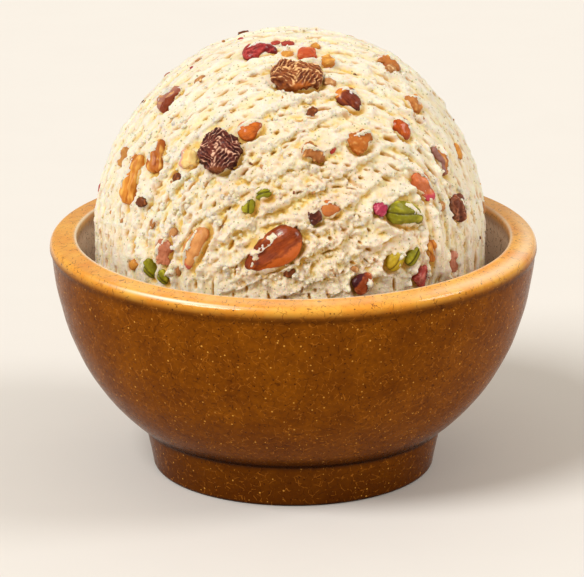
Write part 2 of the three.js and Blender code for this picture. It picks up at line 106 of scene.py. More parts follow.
def angle_from(ways: Array, way: Array) -> Array:
    """Angle in degrees between each of many unit directions and one."""
    return np.degrees(np.arccos(np.clip(ways @ way, -1.0, 1.0)))


class Noise:
    """Smooth random relief in space, the same for the same seed.

    Every corner of a lattice of cubes holds a random slope. The value at a point is the blend of what
    the eight slopes round it give there, from about -1 to 1.
    """

    CORNERS = 256
    GAIN = 1.7

    def __init__(self, seed: int) -> None:
        """Draws the order of the corners and their slopes."""
        draw = np.random.default_rng(seed)
        self.order = draw.permutation(self.CORNERS)
        self.slopes = unit(draw.normal(size=(self.CORNERS, 3)))

    def at(self, points: Array) -> Array:
        """Value at each point, where one lattice cube has side 1."""
        cell = np.floor(points).astype(int)
        inside = points - cell
        ease = inside**3 * (inside * (inside * 6.0 - 15.0) + 10.0)
        total = np.zeros(points.shape[:-1])
        for corner in np.ndindex(2, 2, 2):
            step = np.array(corner)
            key = cell + step
            place = self.order[key[..., 0] % self.CORNERS]
            place = self.order[(place + key[..., 1]) % self.CORNERS]
            place = self.order[(place + key[..., 2]) % self.CORNERS]
            weight = np.prod(np.where(step == 1, ease, 1.0 - ease), axis=-1)
            total += weight * np.sum(self.slopes[place] * (inside - step), axis=-1)
        return self.GAIN * total

    def ridges(self, points: Array) -> Array:
        """Sharp ridges of height 1 where the plain relief crosses nought, down to about -1 between."""
        return 1.0 - 2.0 * np.abs(self.at(points))


@dataclass
class Surface:
    """A closed surface: points in millimetres, faces, and a value at each point for each mark."""

    points: Array
    quads: Array
    triangles: Array
    marks: dict[str, Array] = field(default_factory=dict)

    @staticmethod
    def from_rings(rings: Array, first: Array, last: Array,
                   marks: dict[str, Array] | None = None) -> "Surface":
        """Closes a stack of rings with one end point on each side.

        Args:
            rings: points as rings x columns x 3, each ring closing on itself.
            first: end point before the first ring.
            last: end point after the last ring.
            marks: for each mark a value for every ring point; the ends take the mean of their ring.

        Returns:
            The surface, with its faces pointing outwards.
        """

        def with_ends(values: Array) -> Array:
            """Ring values, with the mean of the first ring before them and that of the last one after."""
            flat = values.reshape(-1, *values.shape[2:])
            return np.concatenate([[values[0].mean(axis=0)], flat, [values[-1].mean(axis=0)]])

        count, columns = rings.shape[:2]
        here = 1 + np.arange(columns)
        after = 1 + (np.arange(columns) + 1) % columns
        steps = (np.arange(count - 1) * columns)[:, None]
        left, right = here + steps, after + steps
        quads = np.stack([left, left + columns, right + columns, right], axis=-1)
        end = 1 + count * columns
        shift = (count - 1) * columns
        near = np.stack([np.zeros(columns, int), here, after], axis=-1)
        far = np.stack([np.full(columns, end), after + shift, here + shift], axis=-1)
        points = np.concatenate([[first], rings.reshape(-1, 3), [last]])
        whole = {name: with_ends(values) for name, values in (marks or {}).items()}
        return Surface(points, quads.reshape(-1, 4), np.concatenate([near, far]), whole).outward()

    @staticmethod
    def copies(rings: Array, marks: dict[str, Array]) -> "Surface":
        """Many small closed surfaces of the same build, as one mesh.

        Args:
            rings: points as copies x rings x columns x 3.
            marks: for each mark a value for every ring point.

        Returns:
            The surface. Each copy is closed with the middles of its first and last ring.
        """
        count = len(rings)

        def closed(values: Array) -> Array:
            """Each copy's values, with the mean of its first ring before them and of its last after."""
            first, last = values[:, [0]].mean(axis=2), values[:, [-1]].mean(axis=2)
            return np.concatenate([first, values.reshape(count, -1, *values.shape[3:]), last], axis=1)

        one = Surface.from_rings(rings[0], rings[0, 0].mean(axis=0), rings[0, -1].mean(axis=0))
        starts = (np.arange(count) * len(one.points))[:, None, None]
        whole = {name: closed(value).reshape(-1, *value.shape[3:]) for name, value in marks.items()}
        quads = (one.quads + starts).reshape(-1, 4)
        triangles = (one.triangles + starts).reshape(-1, 3)
        return Surface(closed(rings).reshape(-1, 3), quads, triangles, whole)

    def outward(self) -> "Surface":
        """The same surface with its faces pointing outwards: its volume comes out above nought."""
        halves = np.concatenate([self.quads[:, [0, 1, 2]], self.quads[:, [0, 2, 3]], self.triangles])
        a, b, c = (self.points[halves[:, corner]] for corner in range(3))
        if np.sum(a * np.cross(b, c)) < 0.0:
            self.quads = self.quads[:, ::-1]
            self.triangles = self.triangles[:, ::-1]
        return self


def ball_grid(rings: int, columns: int) -> Arrays:
    """Angles of a ball's rings from one end to the other, and of its columns round it."""
    level = np.linspace(0.0, math.pi, rings + 2)[1:-1, None]
    return level, np.linspace(0.0, 2.0 * math.pi, columns, endpoint=False)[None, :]


def ball_rings(level: Array, angle: Array, square: float) -> Array:
    """Points of a ball of radius 1 with its ends along X, squared by a power."""
    along = boxier(np.cos(level), square) * np.ones_like(angle)
    side = boxier(np.cos(angle) * np.sin(level), square)
    lift = boxier(np.sin(angle) * np.sin(level), square)
    return np.stack([along, side, lift], axis=-1)


def add_piece(name: str, surface: Surface, finish: Material, slot: str, *nodes: str) -> None:
    """Makes a surface a piece of the object that rides on its one body.

    The piece's object is at the origin, with its place in its mesh.

    Args:
        name: the piece's name.
        surface: its surface in millimetres.
        finish: its material.
        slot: not used.
        nodes: the frame's nodes that it stands for.
    """
    mesh = bpy.data.meshes.new(name)
    mesh.from_pydata(surface.points * MM, [], surface.quads.tolist() + surface.triangles.tolist())
    for mark, values in surface.marks.items():
        is_vector = values.ndim == 2
        attribute = mesh.attributes.new(mark, "FLOAT_VECTOR" if is_vector else "FLOAT", "POINT")
        attribute.data.foreach_set("vector" if is_vector else "value", values.astype(np.float32).ravel())
    mesh.shade_smooth()
    mesh.materials.append(finish)
    piece = bpy.data.objects.new(name, mesh)
    bpy.context.scene.collection.objects.link(piece)
    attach(piece, "root")
    if nodes:
        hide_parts(*nodes)
    LOG.info("%s: %d faces", name, len(mesh.polygons))


# ---- Materials -----------------------------------------------------------------------------------


def linear(colour: Colour) -> Light:
    """Linear colour of a screen colour."""
    shares = [value / 255.0 for value in colour]
    red, green, blue = (s / 12.92 if s <= 0.04045 else ((s + 0.055) / 1.055) ** 2.4 for s in shares)
    return red, green, blue


class Graph:
    """Places nodes in a material or a node group and joins them."""

    def __init__(self, tree: Tree) -> None:
        """Keeps the tree that the nodes go in."""
        self.tree = tree

    def feed(self, node: Node, inputs: Inputs) -> None:
        """Gives each input of a node its value, its screen colour or the output that feeds it."""
        for name, value in inputs.items():
            socket = node.inputs[name]
            if isinstance(value, Socket):
                self.tree.links.new(value, socket)
            elif socket.type == "RGBA":
                socket.default_value = (*linear(value), 1.0)
            else:
                socket.default_value = value

    def node(self, kind: str, inputs: Inputs | None = None, **settings: Any) -> Node:
        """Adds a node.

        Args:
            kind: the name of the node's type, without the word ShaderNode before it.
            inputs: what feeds each input.
            settings: the node's own properties.

        Returns:
            The new node.
        """
        made = self.tree.nodes.new("ShaderNode" + kind)
        for name, value in settings.items():
            setattr(made, name, value)
        self.feed(made, inputs or {})
        return made

    def maths(self, operation: str, first: Any, second: Any = 0.0, third: Any = 0.0) -> Socket:
        """Output of one arithmetic step."""
        return self.node("Math", {0: first, 1: second, 2: third}, operation=operation).outputs[0]

    def tinted(self, colour: Any, mask: Any, tint: Any, strength: float = 1.0) -> Socket:
        """A colour mixed with a tint, as far as a mask and its strength say."""
        share = mask if strength == 1.0 else self.maths("MULTIPLY", mask, strength)
        inputs = {0: share, 6: colour, 7: tint}
        return self.node("Mix", inputs, data_type="RGBA", clamp_factor=True).outputs[2]

    def layered(self, colour: Any, layers: Sequence[Layer]) -> Socket:
        """A colour under layers, of which each has a mask, a tint and a strength."""
        for mask, tint, strength in layers:
            colour = self.tinted(colour, mask, tint, strength)
        return colour

    def between(self, value: Any, low: float, high: float, start: float = 0.0, end: float = 1.0) -> Socket:
        """Maps a value smoothly from one range to another, clamped."""
        inputs = {"Value": value, "From Min": low, "From Max": high, "To Min": start, "To Max": end}
        return self.node("MapRange", inputs, interpolation_type="SMOOTHSTEP").outputs["Result"]

    def noise(self, where: Socket, size: float, detail: float, roughness: float = 0.55) -> Socket:
        """Cloudy noise whose features are about a size in millimetres, on coordinates in metres."""
        inputs = {"Vector": where, "Scale": 1.0 / (size * MM), "Detail": detail, "Roughness": roughness}
        return self.node("TexNoise", inputs).outputs["Fac"]

    def mark(self, name: str, output: str = "Fac") -> Socket:
        """A value kept at the piece's points."""
        return self.node("Attribute", attribute_name=name).outputs[output]

    def place(self) -> Socket:
        """Object coordinates, in metres."""
        return self.node("TexCoord").outputs["Object"]

    def raised(self, height: Socket, strength: float, depth: float) -> Socket:
        """Direction of a surface with a fine relief, whose depth is given in millimetres."""
        return self.node("Bump", {"Height": height, "Strength": strength, "Distance": depth * MM}).outputs[0]


def new_group(
    name: str, inputs: dict[str, float | None], output: str
) -> tuple[Graph, Outputs, Node]:
    """Starts a node group with one output.

    Args:
        name: the group's name.
        inputs: the value of each input, or None for coordinates.
        output: name of its output.

    Returns:
        The graph, its inputs as outputs of its first node, and its last node.
    """
    tree = bpy.data.node_groups.new(name, "ShaderNodeTree")
    for label, value in inputs.items():
        kind = "NodeSocketVector" if value is None else "NodeSocketFloat"
        socket = tree.interface.new_socket(label, in_out="INPUT", socket_type=kind)
        if value is not None:
            socket.default_value = value
    tree.interface.new_socket(output, in_out="OUTPUT", socket_type="NodeSocketFloat")
    return Graph(tree), tree.nodes.new("NodeGroupInput").outputs, tree.nodes.new("NodeGroupOutput")


@dataclass(frozen=True)
class Dots:
    """Scattered dots: the cells' size and the dots' radius in millimetres, and how many cells hold one."""

    cell: float
    radius: float
    share: float
    strength: float = 1.0


@dataclass(frozen=True)
class Patches:
    """Soft patches: their size in millimetres, their contrast and how strongly they show."""

    size: float
    contrast: float
    strength: float = 1.0


def speck_group() -> Tree:
    """Scattered dots: one in each cell of a random honeycomb, with a share of the cells left empty.

    Returns:
        The group, which takes the coordinates in metres, the cell size and the dot's radius in
        millimetres and the share of cells that hold a dot, and gives the dots' mask.
    """
    graph, entry, leave = new_group(
        "Scattered specks", {"Vector": None, "Cell": 2.0, "Radius": 0.25, "Share": 0.7}, "Mask"
    )
    smallest, soft_edge, scatter = 0.55, 0.65, 0.9
    scale = graph.maths("DIVIDE", 1.0 / MM, entry["Cell"])
    cells = graph.node("TexVoronoi", {"Vector": entry["Vector"], "Scale": scale, "Randomness": scatter})
    random = graph.node("SeparateColor", {0: cells.outputs["Color"]}).outputs
    radius = graph.maths("DIVIDE", entry["Radius"], entry["Cell"])
    uneven = graph.maths("MULTIPLY", radius, graph.maths("ADD", smallest, random[1]))
    depth = graph.maths("DIVIDE", cells.outputs["Distance"], uneven)
    dot = graph.between(depth, soft_edge, 1.0, 1.0, 0.0)
    held = graph.maths("LESS_THAN", random[0], entry["Share"])
    graph.feed(leave, {"Mask": graph.maths("MULTIPLY", dot, held)})
    return graph.tree


def patch_group() -> Tree:
    """Soft uneven patches, from nought to one, with their own size and contrast.

    Returns:
        The group, which takes the coordinates in metres, the patch size in millimetres and the
        contrast, and gives the patches' mask.
    """
    graph, entry, leave = new_group("Soft patches", {"Vector": None, "Size": 5.0, "Contrast": 2.0}, "Mask")
    scale = graph.maths("DIVIDE", 1.0 / MM, entry["Size"])
    inputs = {"Vector": entry["Vector"], "Scale": scale, "Detail": 4.0, "Roughness": 0.6}
    cloud = graph.node("TexNoise", inputs).outputs["Fac"]
    spread = graph.maths("MULTIPLY", graph.maths("SUBTRACT", cloud, 0.5), entry["Contrast"])
    level = graph.node("Math", {0: spread, 1: 0.5}, operation="ADD", use_clamp=True).outputs[0]
    graph.feed(leave, {"Mask": level})
    return graph.tree


@dataclass
class Effects:
    """Effects that several materials share, each a node group built once."""

    speck_tree: Tree = field(default_factory=speck_group)
    patch_tree: Tree = field(default_factory=patch_group)

    def dots(self, graph: Graph, where: Socket, dots: Dots) -> Socket:
        """Mask of scattered dots in a material."""
        inputs = {"Vector": where, "Cell": dots.cell, "Radius": dots.radius, "Share": dots.share}
        return graph.node("Group", inputs, node_tree=self.speck_tree).outputs["Mask"]

    def patches(self, graph: Graph, where: Socket, patches: Patches) -> Socket:
        """Mask of soft patches in a material."""
        inputs = {"Vector": where, "Size": patches.size, "Contrast": patches.contrast}
        return graph.node("Group", inputs, node_tree=self.patch_tree).outputs["Mask"]


def new_material(name: str) -> tuple[Material, Graph, Node]:
    """Starts a material with its main shader.

    Args:
        name: the material's name.

    Returns:
        The material, its graph and its shader.
    """
    material = bpy.data.materials.new(name)
    material.use_nodes = True
    shader = material.node_tree.nodes["Principled BSDF"]
    return material, Graph(material.node_tree), shader


@dataclass(frozen=True)
class Glaze:
    """Honey-brown glaze: amber where it is thin, with fine cracks and specks, painted shade in the crease,
    over the foot and under the lip, which is partly glaze that gathers there, painted highlights along the
    lip and a pale painted reflection on the inner wall.

    Sizes are in millimetres. The strengths from foot_dark to line_strength are shares of a colour.
    """

    body: Colour = (112, 57, 4)
    amber: Colour = (144, 80, 6)
    dark: Colour = (70, 30, 2)
    lip: Colour = (250, 190, 78)
    lip_warm: Colour = (230, 142, 34)
    # inside is a pale painted reflection of the ice cream and the light on the brown inner wall.
    inside: Colour = (240, 220, 208)
    # edge is a painted highlight along the lip; along the mouth it is partly thin glaze.
    edge: Colour = (255, 248, 228)
    # This colour is painted shade in the crease, over the foot and under the lip, partly glaze that gathers
    # there.
    pool_and_shade: Colour = (40, 16, 4)
    crack: Colour = (178, 108, 32)
    fleck: Colour = (226, 160, 66)
    pit: Colour = (62, 26, 6)
    clouds: Patches = Patches(11.0, 2.2)
    grains: Patches = Patches(1.6, 2.4, 0.45)
    flecks: Dots = Dots(1.7, 0.24, 0.5, 0.8)
    pits: Dots = Dots(1.5, 0.24, 0.6, 0.75)
    foot_top: float = 15.0
    low_body: float = 36.0
    foot_dark: float = 0.6
    low_dark: float = 0.3
    line_strength: float = 0.7
    light_cell: float = 2.6
    dark_cell: float = 3.4
    line_width: float = 0.045
    line_bend: float = 0.6
    line_run: float = 0.6
    line_kept: tuple[float, float] = (0.5, 0.57)
    waves: float = 9.0
    fine_height: float = 0.35
    relief: float = 0.35
    relief_depth: float = 0.25
    roughness: tuple[float, float] = (0.16, 0.3)
    coat: float = 0.01
    lip_coat: float = 0.6
    coat_roughness: float = 0.05
    sheen: float = 0.022

    def build(self, effects: Effects) -> Material:
        """The bowl's material, which reads the marks lip, inside, pool and edge."""
        material, graph, shader = new_material("Honey glaze")
        where = graph.place()
        height = graph.node("SeparateXYZ", {0: where}).outputs["Z"]
        clouds = effects.patches(graph, where, self.clouds)
        grains = effects.patches(graph, where, self.grains)
        flecks = effects.dots(graph, where, self.flecks)
        pits = effects.dots(graph, where, self.pits)
        light_lines = self.lines(graph, where, self.light_cell)
        dark_lines = self.lines(graph, where, self.dark_cell)
        lip = graph.mark("lip")
        colour = graph.layered(self.body, (
            (clouds, self.amber, 1.0),
            (grains, self.dark, self.grains.strength),
            (graph.between(height, self.foot_top * MM, 0.0), self.dark, self.foot_dark),
            (graph.between(height, self.low_body * MM, self.foot_top * MM), self.dark, self.low_dark),
            (lip, graph.tinted(self.lip, clouds, self.lip_warm), 1.0),
            # pale painted reflection on the inner wall
            (graph.mark("inside"), self.inside, 1.0),
            (light_lines, self.crack, 1.0),
            (dark_lines, self.dark, 1.0),
            (flecks, self.fleck, self.flecks.strength),
            (pits, self.pit, self.pits.strength),
            # painted shade in the crease, over the foot and under the lip, partly gathered glaze
            (graph.mark("pool_and_shade"), self.pool_and_shade, 1.0),
            # painted highlight along the lip, partly thin glaze at the mouth
            (graph.mark("edge"), self.edge, 1.0),
        ))
        raised = graph.maths("ADD", flecks, light_lines)
        fine = graph.maths("SUBTRACT", raised, graph.maths("ADD", pits, dark_lines))
        relief = graph.maths("MULTIPLY_ADD", fine, self.fine_height, graph.noise(where, self.waves, 2.0))
        graph.feed(shader, {
            "Base Color": colour,
            "Roughness": graph.between(grains, 0.0, 1.0, *self.roughness),
            "Normal": graph.raised(relief, self.relief, self.relief_depth),
            "Coat Weight": graph.maths("MULTIPLY_ADD", lip, self.lip_coat, self.coat),
            "Coat Roughness": self.coat_roughness,
            "Specular IOR Level": self.sheen,
        })
        return material

    def lines(self, graph: Graph, where: Socket, cell: float) -> Socket:
        """Short broken lines: the borders of random cells, kept only here and there.

        Args:
            graph: the material's graph.
            where: coordinates in metres.
            cell: size of a cell in millimetres.

        Returns:
            The lines' mask.
        """
        scale = 1.0 / (cell * MM)
        bent = graph.node("TexNoise", {"Vector": where, "Scale": self.line_bend * scale, "Detail": 2.0})
        nudge = graph.node("VectorMath", {0: bent.outputs["Color"], 1: (0.5, 0.5, 0.5)}, operation="SUBTRACT")
        steps = {0: nudge.outputs[0], 1: (cell * MM,) * 3, 2: where}
        moved = graph.node("VectorMath", steps, operation="MULTIPLY_ADD").outputs[0]
        cells = graph.node("TexVoronoi", {"Vector": moved, "Scale": scale}, feature="DISTANCE_TO_EDGE")
        line = graph.between(cells.outputs["Distance"], 0.0, self.line_width, 1.0, 0.0)
        kept = graph.between(graph.noise(where, cell * self.line_run, 2.0), *self.line_kept)
        return graph.maths("MULTIPLY", graph.maths("MULTIPLY", line, kept), self.line_strength)


@dataclass(frozen=True)
class Cream:
    """Vanilla ice cream: warm white with fine specks, painted lighter on the crests, with buttery and ochre
    painted shade in the hollows, the pits and beside the fruit.

    The pairs of numbers say over which hollowness a colour comes in.
    """

    # crest, body, hollow, lemon and pit are painted light and shade: lighter on the crests, warmer and darker
    # where the surface lies low.
    crest: Colour = (255, 249, 234)
    body: Colour = (252, 239, 211)
    hollow: Colour = (241, 204, 108)
    pit: Colour = (202, 140, 34)
    rosy: Colour = (248, 222, 206)
    lemon: Colour = (249, 237, 156)
    # painted shade over the torn part
    torn_shade: Colour = (236, 198, 156)
    speck: Colour = (148, 136, 44)
    body_in: tuple[float, float] = (0.15, 0.5)
    hollow_in: tuple[float, float] = (0.52, 0.98)
    lemon_in: tuple[float, float] = (0.35, 0.65)
    lemon_strength: tuple[float, float] = (0.12, 0.6)
    torn_shade_strength: float = 0.4
    rosy_patches: Patches = Patches(9.0, 3.0, 0.4)
    lemon_patches: Patches = Patches(4.0, 3.6)
    specks: Dots = Dots(1.3, 0.25, 0.9, 0.66)
    dust: Dots = Dots(1.2, 0.1, 0.5, 0.6)
    mottle_size: float = 0.9
    mottle: float = 0.5
    grain_size: float = 0.7
    speck_depth: float = 0.15
    relief: float = 0.8
    relief_depth: float = 0.7
    roughness: tuple[float, float] = (0.3, 0.5)
    glow: float = 0.5
    glow_reach: Light = (1.0, 0.7, 0.3)
    glow_depth: float = 1.6

    def build(self, effects: Effects) -> Material:
        """The ice cream's material, which reads the marks hollow, pit and torn."""
        material, graph, shader = new_material("Vanilla ice cream")
        where = graph.place()
        rosy = effects.patches(graph, where, self.rosy_patches)
        lemon = effects.patches(graph, where, self.lemon_patches)
        uneven = graph.maths("SUBTRACT", graph.noise(where, self.mottle_size, 3.0, 0.6), 0.5)
        hollow = graph.maths("MULTIPLY_ADD", uneven, self.mottle, graph.mark("hollow"))
        near_hollow = graph.between(hollow, *self.lemon_in, *self.lemon_strength)
        dust = graph.maths("MULTIPLY", effects.dots(graph, where, self.dust), self.dust.strength)
        dots = graph.maths("MAXIMUM", effects.dots(graph, where, self.specks), dust)
        colour = graph.layered(self.crest, (
            # Painted light and shade: lighter on the crests, warmer and darker in the hollows, slits, pores
            # and beside the fruit.
            (graph.between(hollow, *self.body_in), self.body, 1.0),
            (rosy, self.rosy, self.rosy_patches.strength),
            # painted shade over the torn part
            (graph.mark("torn"), self.torn_shade, self.torn_shade_strength),
            (graph.maths("MULTIPLY", lemon, near_hollow), self.lemon, 1.0),
            (graph.between(hollow, *self.hollow_in), self.hollow, 1.0),
            (graph.mark("pit"), self.pit, 1.0),
            (dots, self.speck, self.specks.strength),
        ))
        grain = graph.noise(where, self.grain_size, 4.0, 0.65)
        relief = graph.maths("MULTIPLY_ADD", dots, -self.speck_depth, grain)
        graph.feed(shader, {
            "Base Color": colour,
            "Roughness": graph.between(rosy, 0.0, 1.0, *self.roughness),
            "Normal": graph.raised(relief, self.relief, self.relief_depth),
            "Subsurface Weight": self.glow,
            "Subsurface Radius": self.glow_reach,
            "Subsurface Scale": self.glow_depth * MM,
        })
        return material


@dataclass(frozen=True)
class Skin:
    """Finish of a fruit or nut: its colours, its gloss and the grain that runs along it.

    deep fills the creases up to the crest value deep_to as painted shade, and bright the crests from
    bright_from as painted light.
    accent colours one end or side. accent_side gives the direction of that side in the piece's own
    frame, as along and across, and accent_from how far out it starts, as a share of the half size.
    contact_shade says how much painted shade darkens the piece where it goes into the ice cream. grain
    is the fibres' size in millimetres, and stretch how much longer they are along the piece.
    """

    deep: Colour
    body: Colour
    bright: Colour
    accent: Colour | None = None
    accent_side: tuple[float, float] = (1.0, 0.0)
    accent_from: float = 0.2
    roughness: float = 0.4
    coat: float = 0.2
    sheen: float = 0.14
    grain: float = 0.8
    stretch: float = 5.0
    bump: float = 0.3
    glow: float = 0.0
    bright_from: float = 0.55
    deep_to: float = 0.35
    # painted contact shade where the piece goes into the ice cream
    contact_shade: float = 0.6

    CONTRAST = 2.6
    PATCH_SIZE = 3.2
    FIBRE_SHARE = 0.5
    BRIGHT_RANGE = 0.45
    ACCENT_RANGE = 0.22
    ACCENT_RAGGED = 0.35
    DOTS = Dots(0.9, 0.12, 0.5, 0.3)
    CONTACT_SHADE_RANGE = (0.5, 0.1)
    FINE_SIZE = 0.5
    FINE_HEIGHT = 0.7
    RELIEF_DEPTH = 0.15
    COAT_ROUGHNESS = 0.12
    GLOW_REACH = (1.0, 0.45, 0.2)
    GLOW_DEPTH = 1.2

    def accent_mask(self, graph: Graph, sides: Outputs, patches: Socket) -> Socket:
        """Mask of the end or side that has the accent, with a ragged border."""
        across = graph.maths("MULTIPLY", sides["Y"], self.accent_side[1])
        reach = graph.maths("MULTIPLY_ADD", sides["X"], self.accent_side[0], across)
        uneven = graph.maths("SUBTRACT", patches, 0.5)
        ragged = graph.maths("MULTIPLY_ADD", uneven, self.ACCENT_RAGGED, reach)
        return graph.between(ragged, self.accent_from, self.accent_from + self.ACCENT_RANGE)

    def build(self, name: str, effects: Effects) -> Material:
        """The material of a piece, which reads the marks skin, share and crest.

        Args:
            name: the piece's name.
            effects: the shared effects.

        Returns:
            The material.
        """
        material, graph, shader = new_material(name + " skin")
        where = graph.mark("skin", "Vector")
        crest = graph.mark("crest")
        sides = graph.node("SeparateXYZ", {0: graph.mark("share", "Vector")}).outputs
        pulled = graph.node("Mapping", {"Vector": where, "Scale": (1.0 / self.stretch, 1.0, 1.0)}).outputs[0]
        fibres = effects.patches(graph, pulled, Patches(self.grain, self.CONTRAST))
        patches = effects.patches(graph, where, Patches(self.PATCH_SIZE, self.CONTRAST))
        crest_mask = graph.between(crest, self.bright_from, self.bright_from + self.BRIGHT_RANGE)
        layers = [
            (patches, self.deep, 1.0),
            (fibres, self.body, self.FIBRE_SHARE),
            # painted shade in the creases and painted light on the crests
            (graph.between(crest, self.deep_to, 0.0), self.deep, 1.0),
            (crest_mask, self.bright, 1.0),
        ]
        if self.accent is not None:
            layers.append((self.accent_mask(graph, sides, patches), self.accent, 1.0))
        layers.append((effects.dots(graph, where, self.DOTS), self.deep, self.DOTS.strength))
        # painted contact shade on the lower side, where the piece goes into the ice cream
        layers.append((graph.between(sides["Z"], *self.CONTACT_SHADE_RANGE), self.deep, self.contact_shade))
        fine = graph.noise(where, self.FINE_SIZE, 3.0)
        relief = graph.maths("MULTIPLY_ADD", fine, self.FINE_HEIGHT, fibres)
        graph.feed(shader, {
            "Base Color": graph.layered(self.body, layers),
            "Roughness": graph.between(fibres, 0.0, 1.0, self.roughness * 0.75, self.roughness * 1.25),
            "Normal": graph.raised(relief, self.bump, self.RELIEF_DEPTH),
            "Specular IOR Level": self.sheen,
            "Coat Weight": self.coat,
            "Coat Roughness": self.COAT_ROUGHNESS,
        })
        if self.glow > 0.0:
            graph.feed(shader, {
                "Subsurface Weight": self.glow,
                "Subsurface Radius": self.GLOW_REACH,
                "Subsurface Scale": self.GLOW_DEPTH * MM,
            })
        return material


@dataclass(frozen=True)
class FloorPaint:
    """Plain pale floor, with a faint grain."""

    colour: Colour = (232, 230, 228)
    faint: Colour = (230, 228, 226)
    grain: Patches = Patches(30.0, 1.5)
    roughness: float = 0.7
    sheen: float = 0.2

    def build(self, effects: Effects) -> Material:
        """The floor's material."""
        material, graph, shader = new_material("Pale floor")
        grain = effects.patches(graph, graph.place(), self.grain)
        graph.feed(shader, {
            "Base Color": graph.tinted(self.colour, grain, self.faint),
            "Roughness": self.roughness,
            "Specular IOR Level": self.sheen,
        })
        return material


# ---- Bowl ----------------------------------------------------------------------------------------


def arc_through(start: Pair, pull: Pair, end: Pair, steps: int) -> Array:
    """Points of a curve that leaves start towards pull and arrives at end from it, without start."""
    share = np.linspace(0.0, 1.0, steps + 1)[1:, None]
    a, b, c = np.array(start), np.array(pull), np.array(end)
    return (1 - share) ** 2 * a + 2 * (1 - share) * share * b + share**2 * c


@dataclass(frozen=True)
class Bowl:
    """The footed bowl: one outline of radius and height, turned round the upright axis.

    The pairs from recess to mouth are a radius and a height. firm_foot gives the heights between which
    the wobble comes in. The pairs of the painted highlights on the lip and of the painted shade in the crease
    are a middle and a width.
    """

    recess: Pair = (38.6, 3.0)
    recess_inner: float = 6.0
    ring_inner: float = 39.8
    ring_outer: float = 42.2
    corner: Pair = (43.7, 1.8)
    foot_middle: Pair = (44.9, 8.4)
    foot_top: Pair = (46.2, 13.2)
    crease: Pair = (47.2, 13.9)
    lower_pull: Pair = (54.6, 20.2)
    upper_pull: Pair = (71.4, 33.7)
    side_end: Pair = (74.5, 69.0)
    lip: Pair = (75.0, 70.0)
    shoulder: Pair = (72.6, 73.3)
    rim: Pair = (67.6, 73.9)
    mouth: Pair = (66.5, 72.6)
    floor_height: float = 11.0
    side_roundness: float = 2.6
    floor_roundness: float = 2.4
    columns: int = 288
    wobble: float = 0.14
    firm_foot: Pair = (16.0, 34.0)
    # Painted highlight on the lip, partly thin glaze at the mouth: the sides where it is brightest, and where
    # its bands lie.
    bright_side: float = math.radians(228.0)
    pale_side: float = math.radians(338.0)
    mouth_highlight_line: Pair = (67.0, 0.45)
    mouth_highlight_wider: float = 0.3
    left_highlight: Pair = (74.1, 0.4)
    left_highlight_turn: Pair = (241.0, 15.0)
    right_highlight: Pair = (72.2, 2.2)
    right_highlight_strength: float = 0.4
    front_highlight: Pair = (70.4, 2.6)
    front_highlight_strength: float = 0.16
    # Painted shade, partly gathered glaze: the band in the crease, the foot's edge, over the foot and under
    # the lip.
    pool_and_shade: Pair = (13.5, 0.9)
    pool_radius: Pair = (46.9, 1.6)
    foot_shade: float = 0.8
    under_lip: float = 0.4
    over_foot: float = 0.85

    def wall_radius(self, height: Array) -> Array:
        """Inner radius at a height: a deep curve, steep at the mouth and flat at the floor."""
        depth = np.clip((self.mouth[1] - height) / (self.mouth[1] - self.floor_height), 0.0, 1.0)
        return self.mouth[0] * (1.0 - depth**self.side_roundness) ** (1.0 / self.floor_roundness)

    def side(self, steps: int) -> Array:
        """Points of the body's side: one cubic curve from the crease up to the lip, without its start."""
        share = np.linspace(0.0, 1.0, steps + 1)[1:, None]
        rest = 1 - share
        a, b, c, d = (np.array(p) for p in (self.crease, self.lower_pull, self.upper_pull, self.side_end))
        return rest**3 * a + 3 * rest**2 * share * b + 3 * rest * share**2 * c + share**3 * d

    def outline(self) -> tuple[Array, int]:
        """Points of the outline from underside to inner floor, and how many come before the inner wall."""
        base = np.linspace((self.recess_inner, self.recess[1]), self.recess, 8)
        ring = np.linspace((self.ring_inner, 0.0), (self.ring_outer, 0.0), 4)
        corner = arc_through((self.ring_outer, 0.0), (self.corner[0], 0.0), self.corner, 6)
        foot = arc_through(self.corner, self.foot_middle, self.foot_top, 14)
        crease = np.linspace(self.foot_top, self.crease, 4)[1:]
        lip = arc_through(self.lip, (self.lip[0], self.shoulder[1]), self.shoulder, 12)
        top = np.linspace(self.shoulder, self.rim, 10)[1:]
        mouth = arc_through(self.rim, (self.mouth[0], self.rim[1]), self.mouth, 8)
        outer = np.concatenate([base, ring, corner, foot, crease, self.side(64), [self.lip], lip, top, mouth])
        share = np.sin(np.linspace(0.0, math.pi / 2.0, 49)[1:-1])
        height = blend(self.mouth[1], self.floor_height, share)
        wall = np.stack([self.wall_radius(height), height], axis=-1)
        return np.concatenate([outer, wall]), len(outer)

    def highlight_and_thin_glaze(self, radius: Array, height: Array, turn: Array) -> Array:
        """Painted highlight on the lip: a pale line along the mouth, where the glaze is also thin, and pale
        bands at the left, the right and the front.

        Args:
            radius: distance from the axis of each ring.
            height: height of each ring.
            turn: angle of each column round the axis, from +X.

        Returns:
            The share of pale glaze, from 0 to 1.
        """
        front = np.maximum(-np.sin(turn), 0.0)
        bright = blend(0.5, 1.0, eased(np.cos(turn - self.bright_side), 0.1, 0.8))
        bright = bright + 0.1 * np.sin(5 * turn + 1.0)
        mouth = bell(radius, self.mouth_highlight_line[0], self.mouth_highlight_line[1] + self.mouth_highlight_wider * front) * bright
        left = bell(np.degrees(turn), *self.left_highlight_turn) * bell(radius, *self.left_highlight)
        right = self.right_highlight_strength * eased(np.cos(turn - self.pale_side), 0.6, 1.0)
        right = right * bell(radius, *self.right_highlight)
        broad = self.front_highlight_strength * front**2 * bell(radius, *self.front_highlight)
        # the painted highlight at each point
        runs = np.maximum(np.maximum(mouth, broad), np.maximum(left, right))
        return runs * eased(height, 71.8, 72.8)

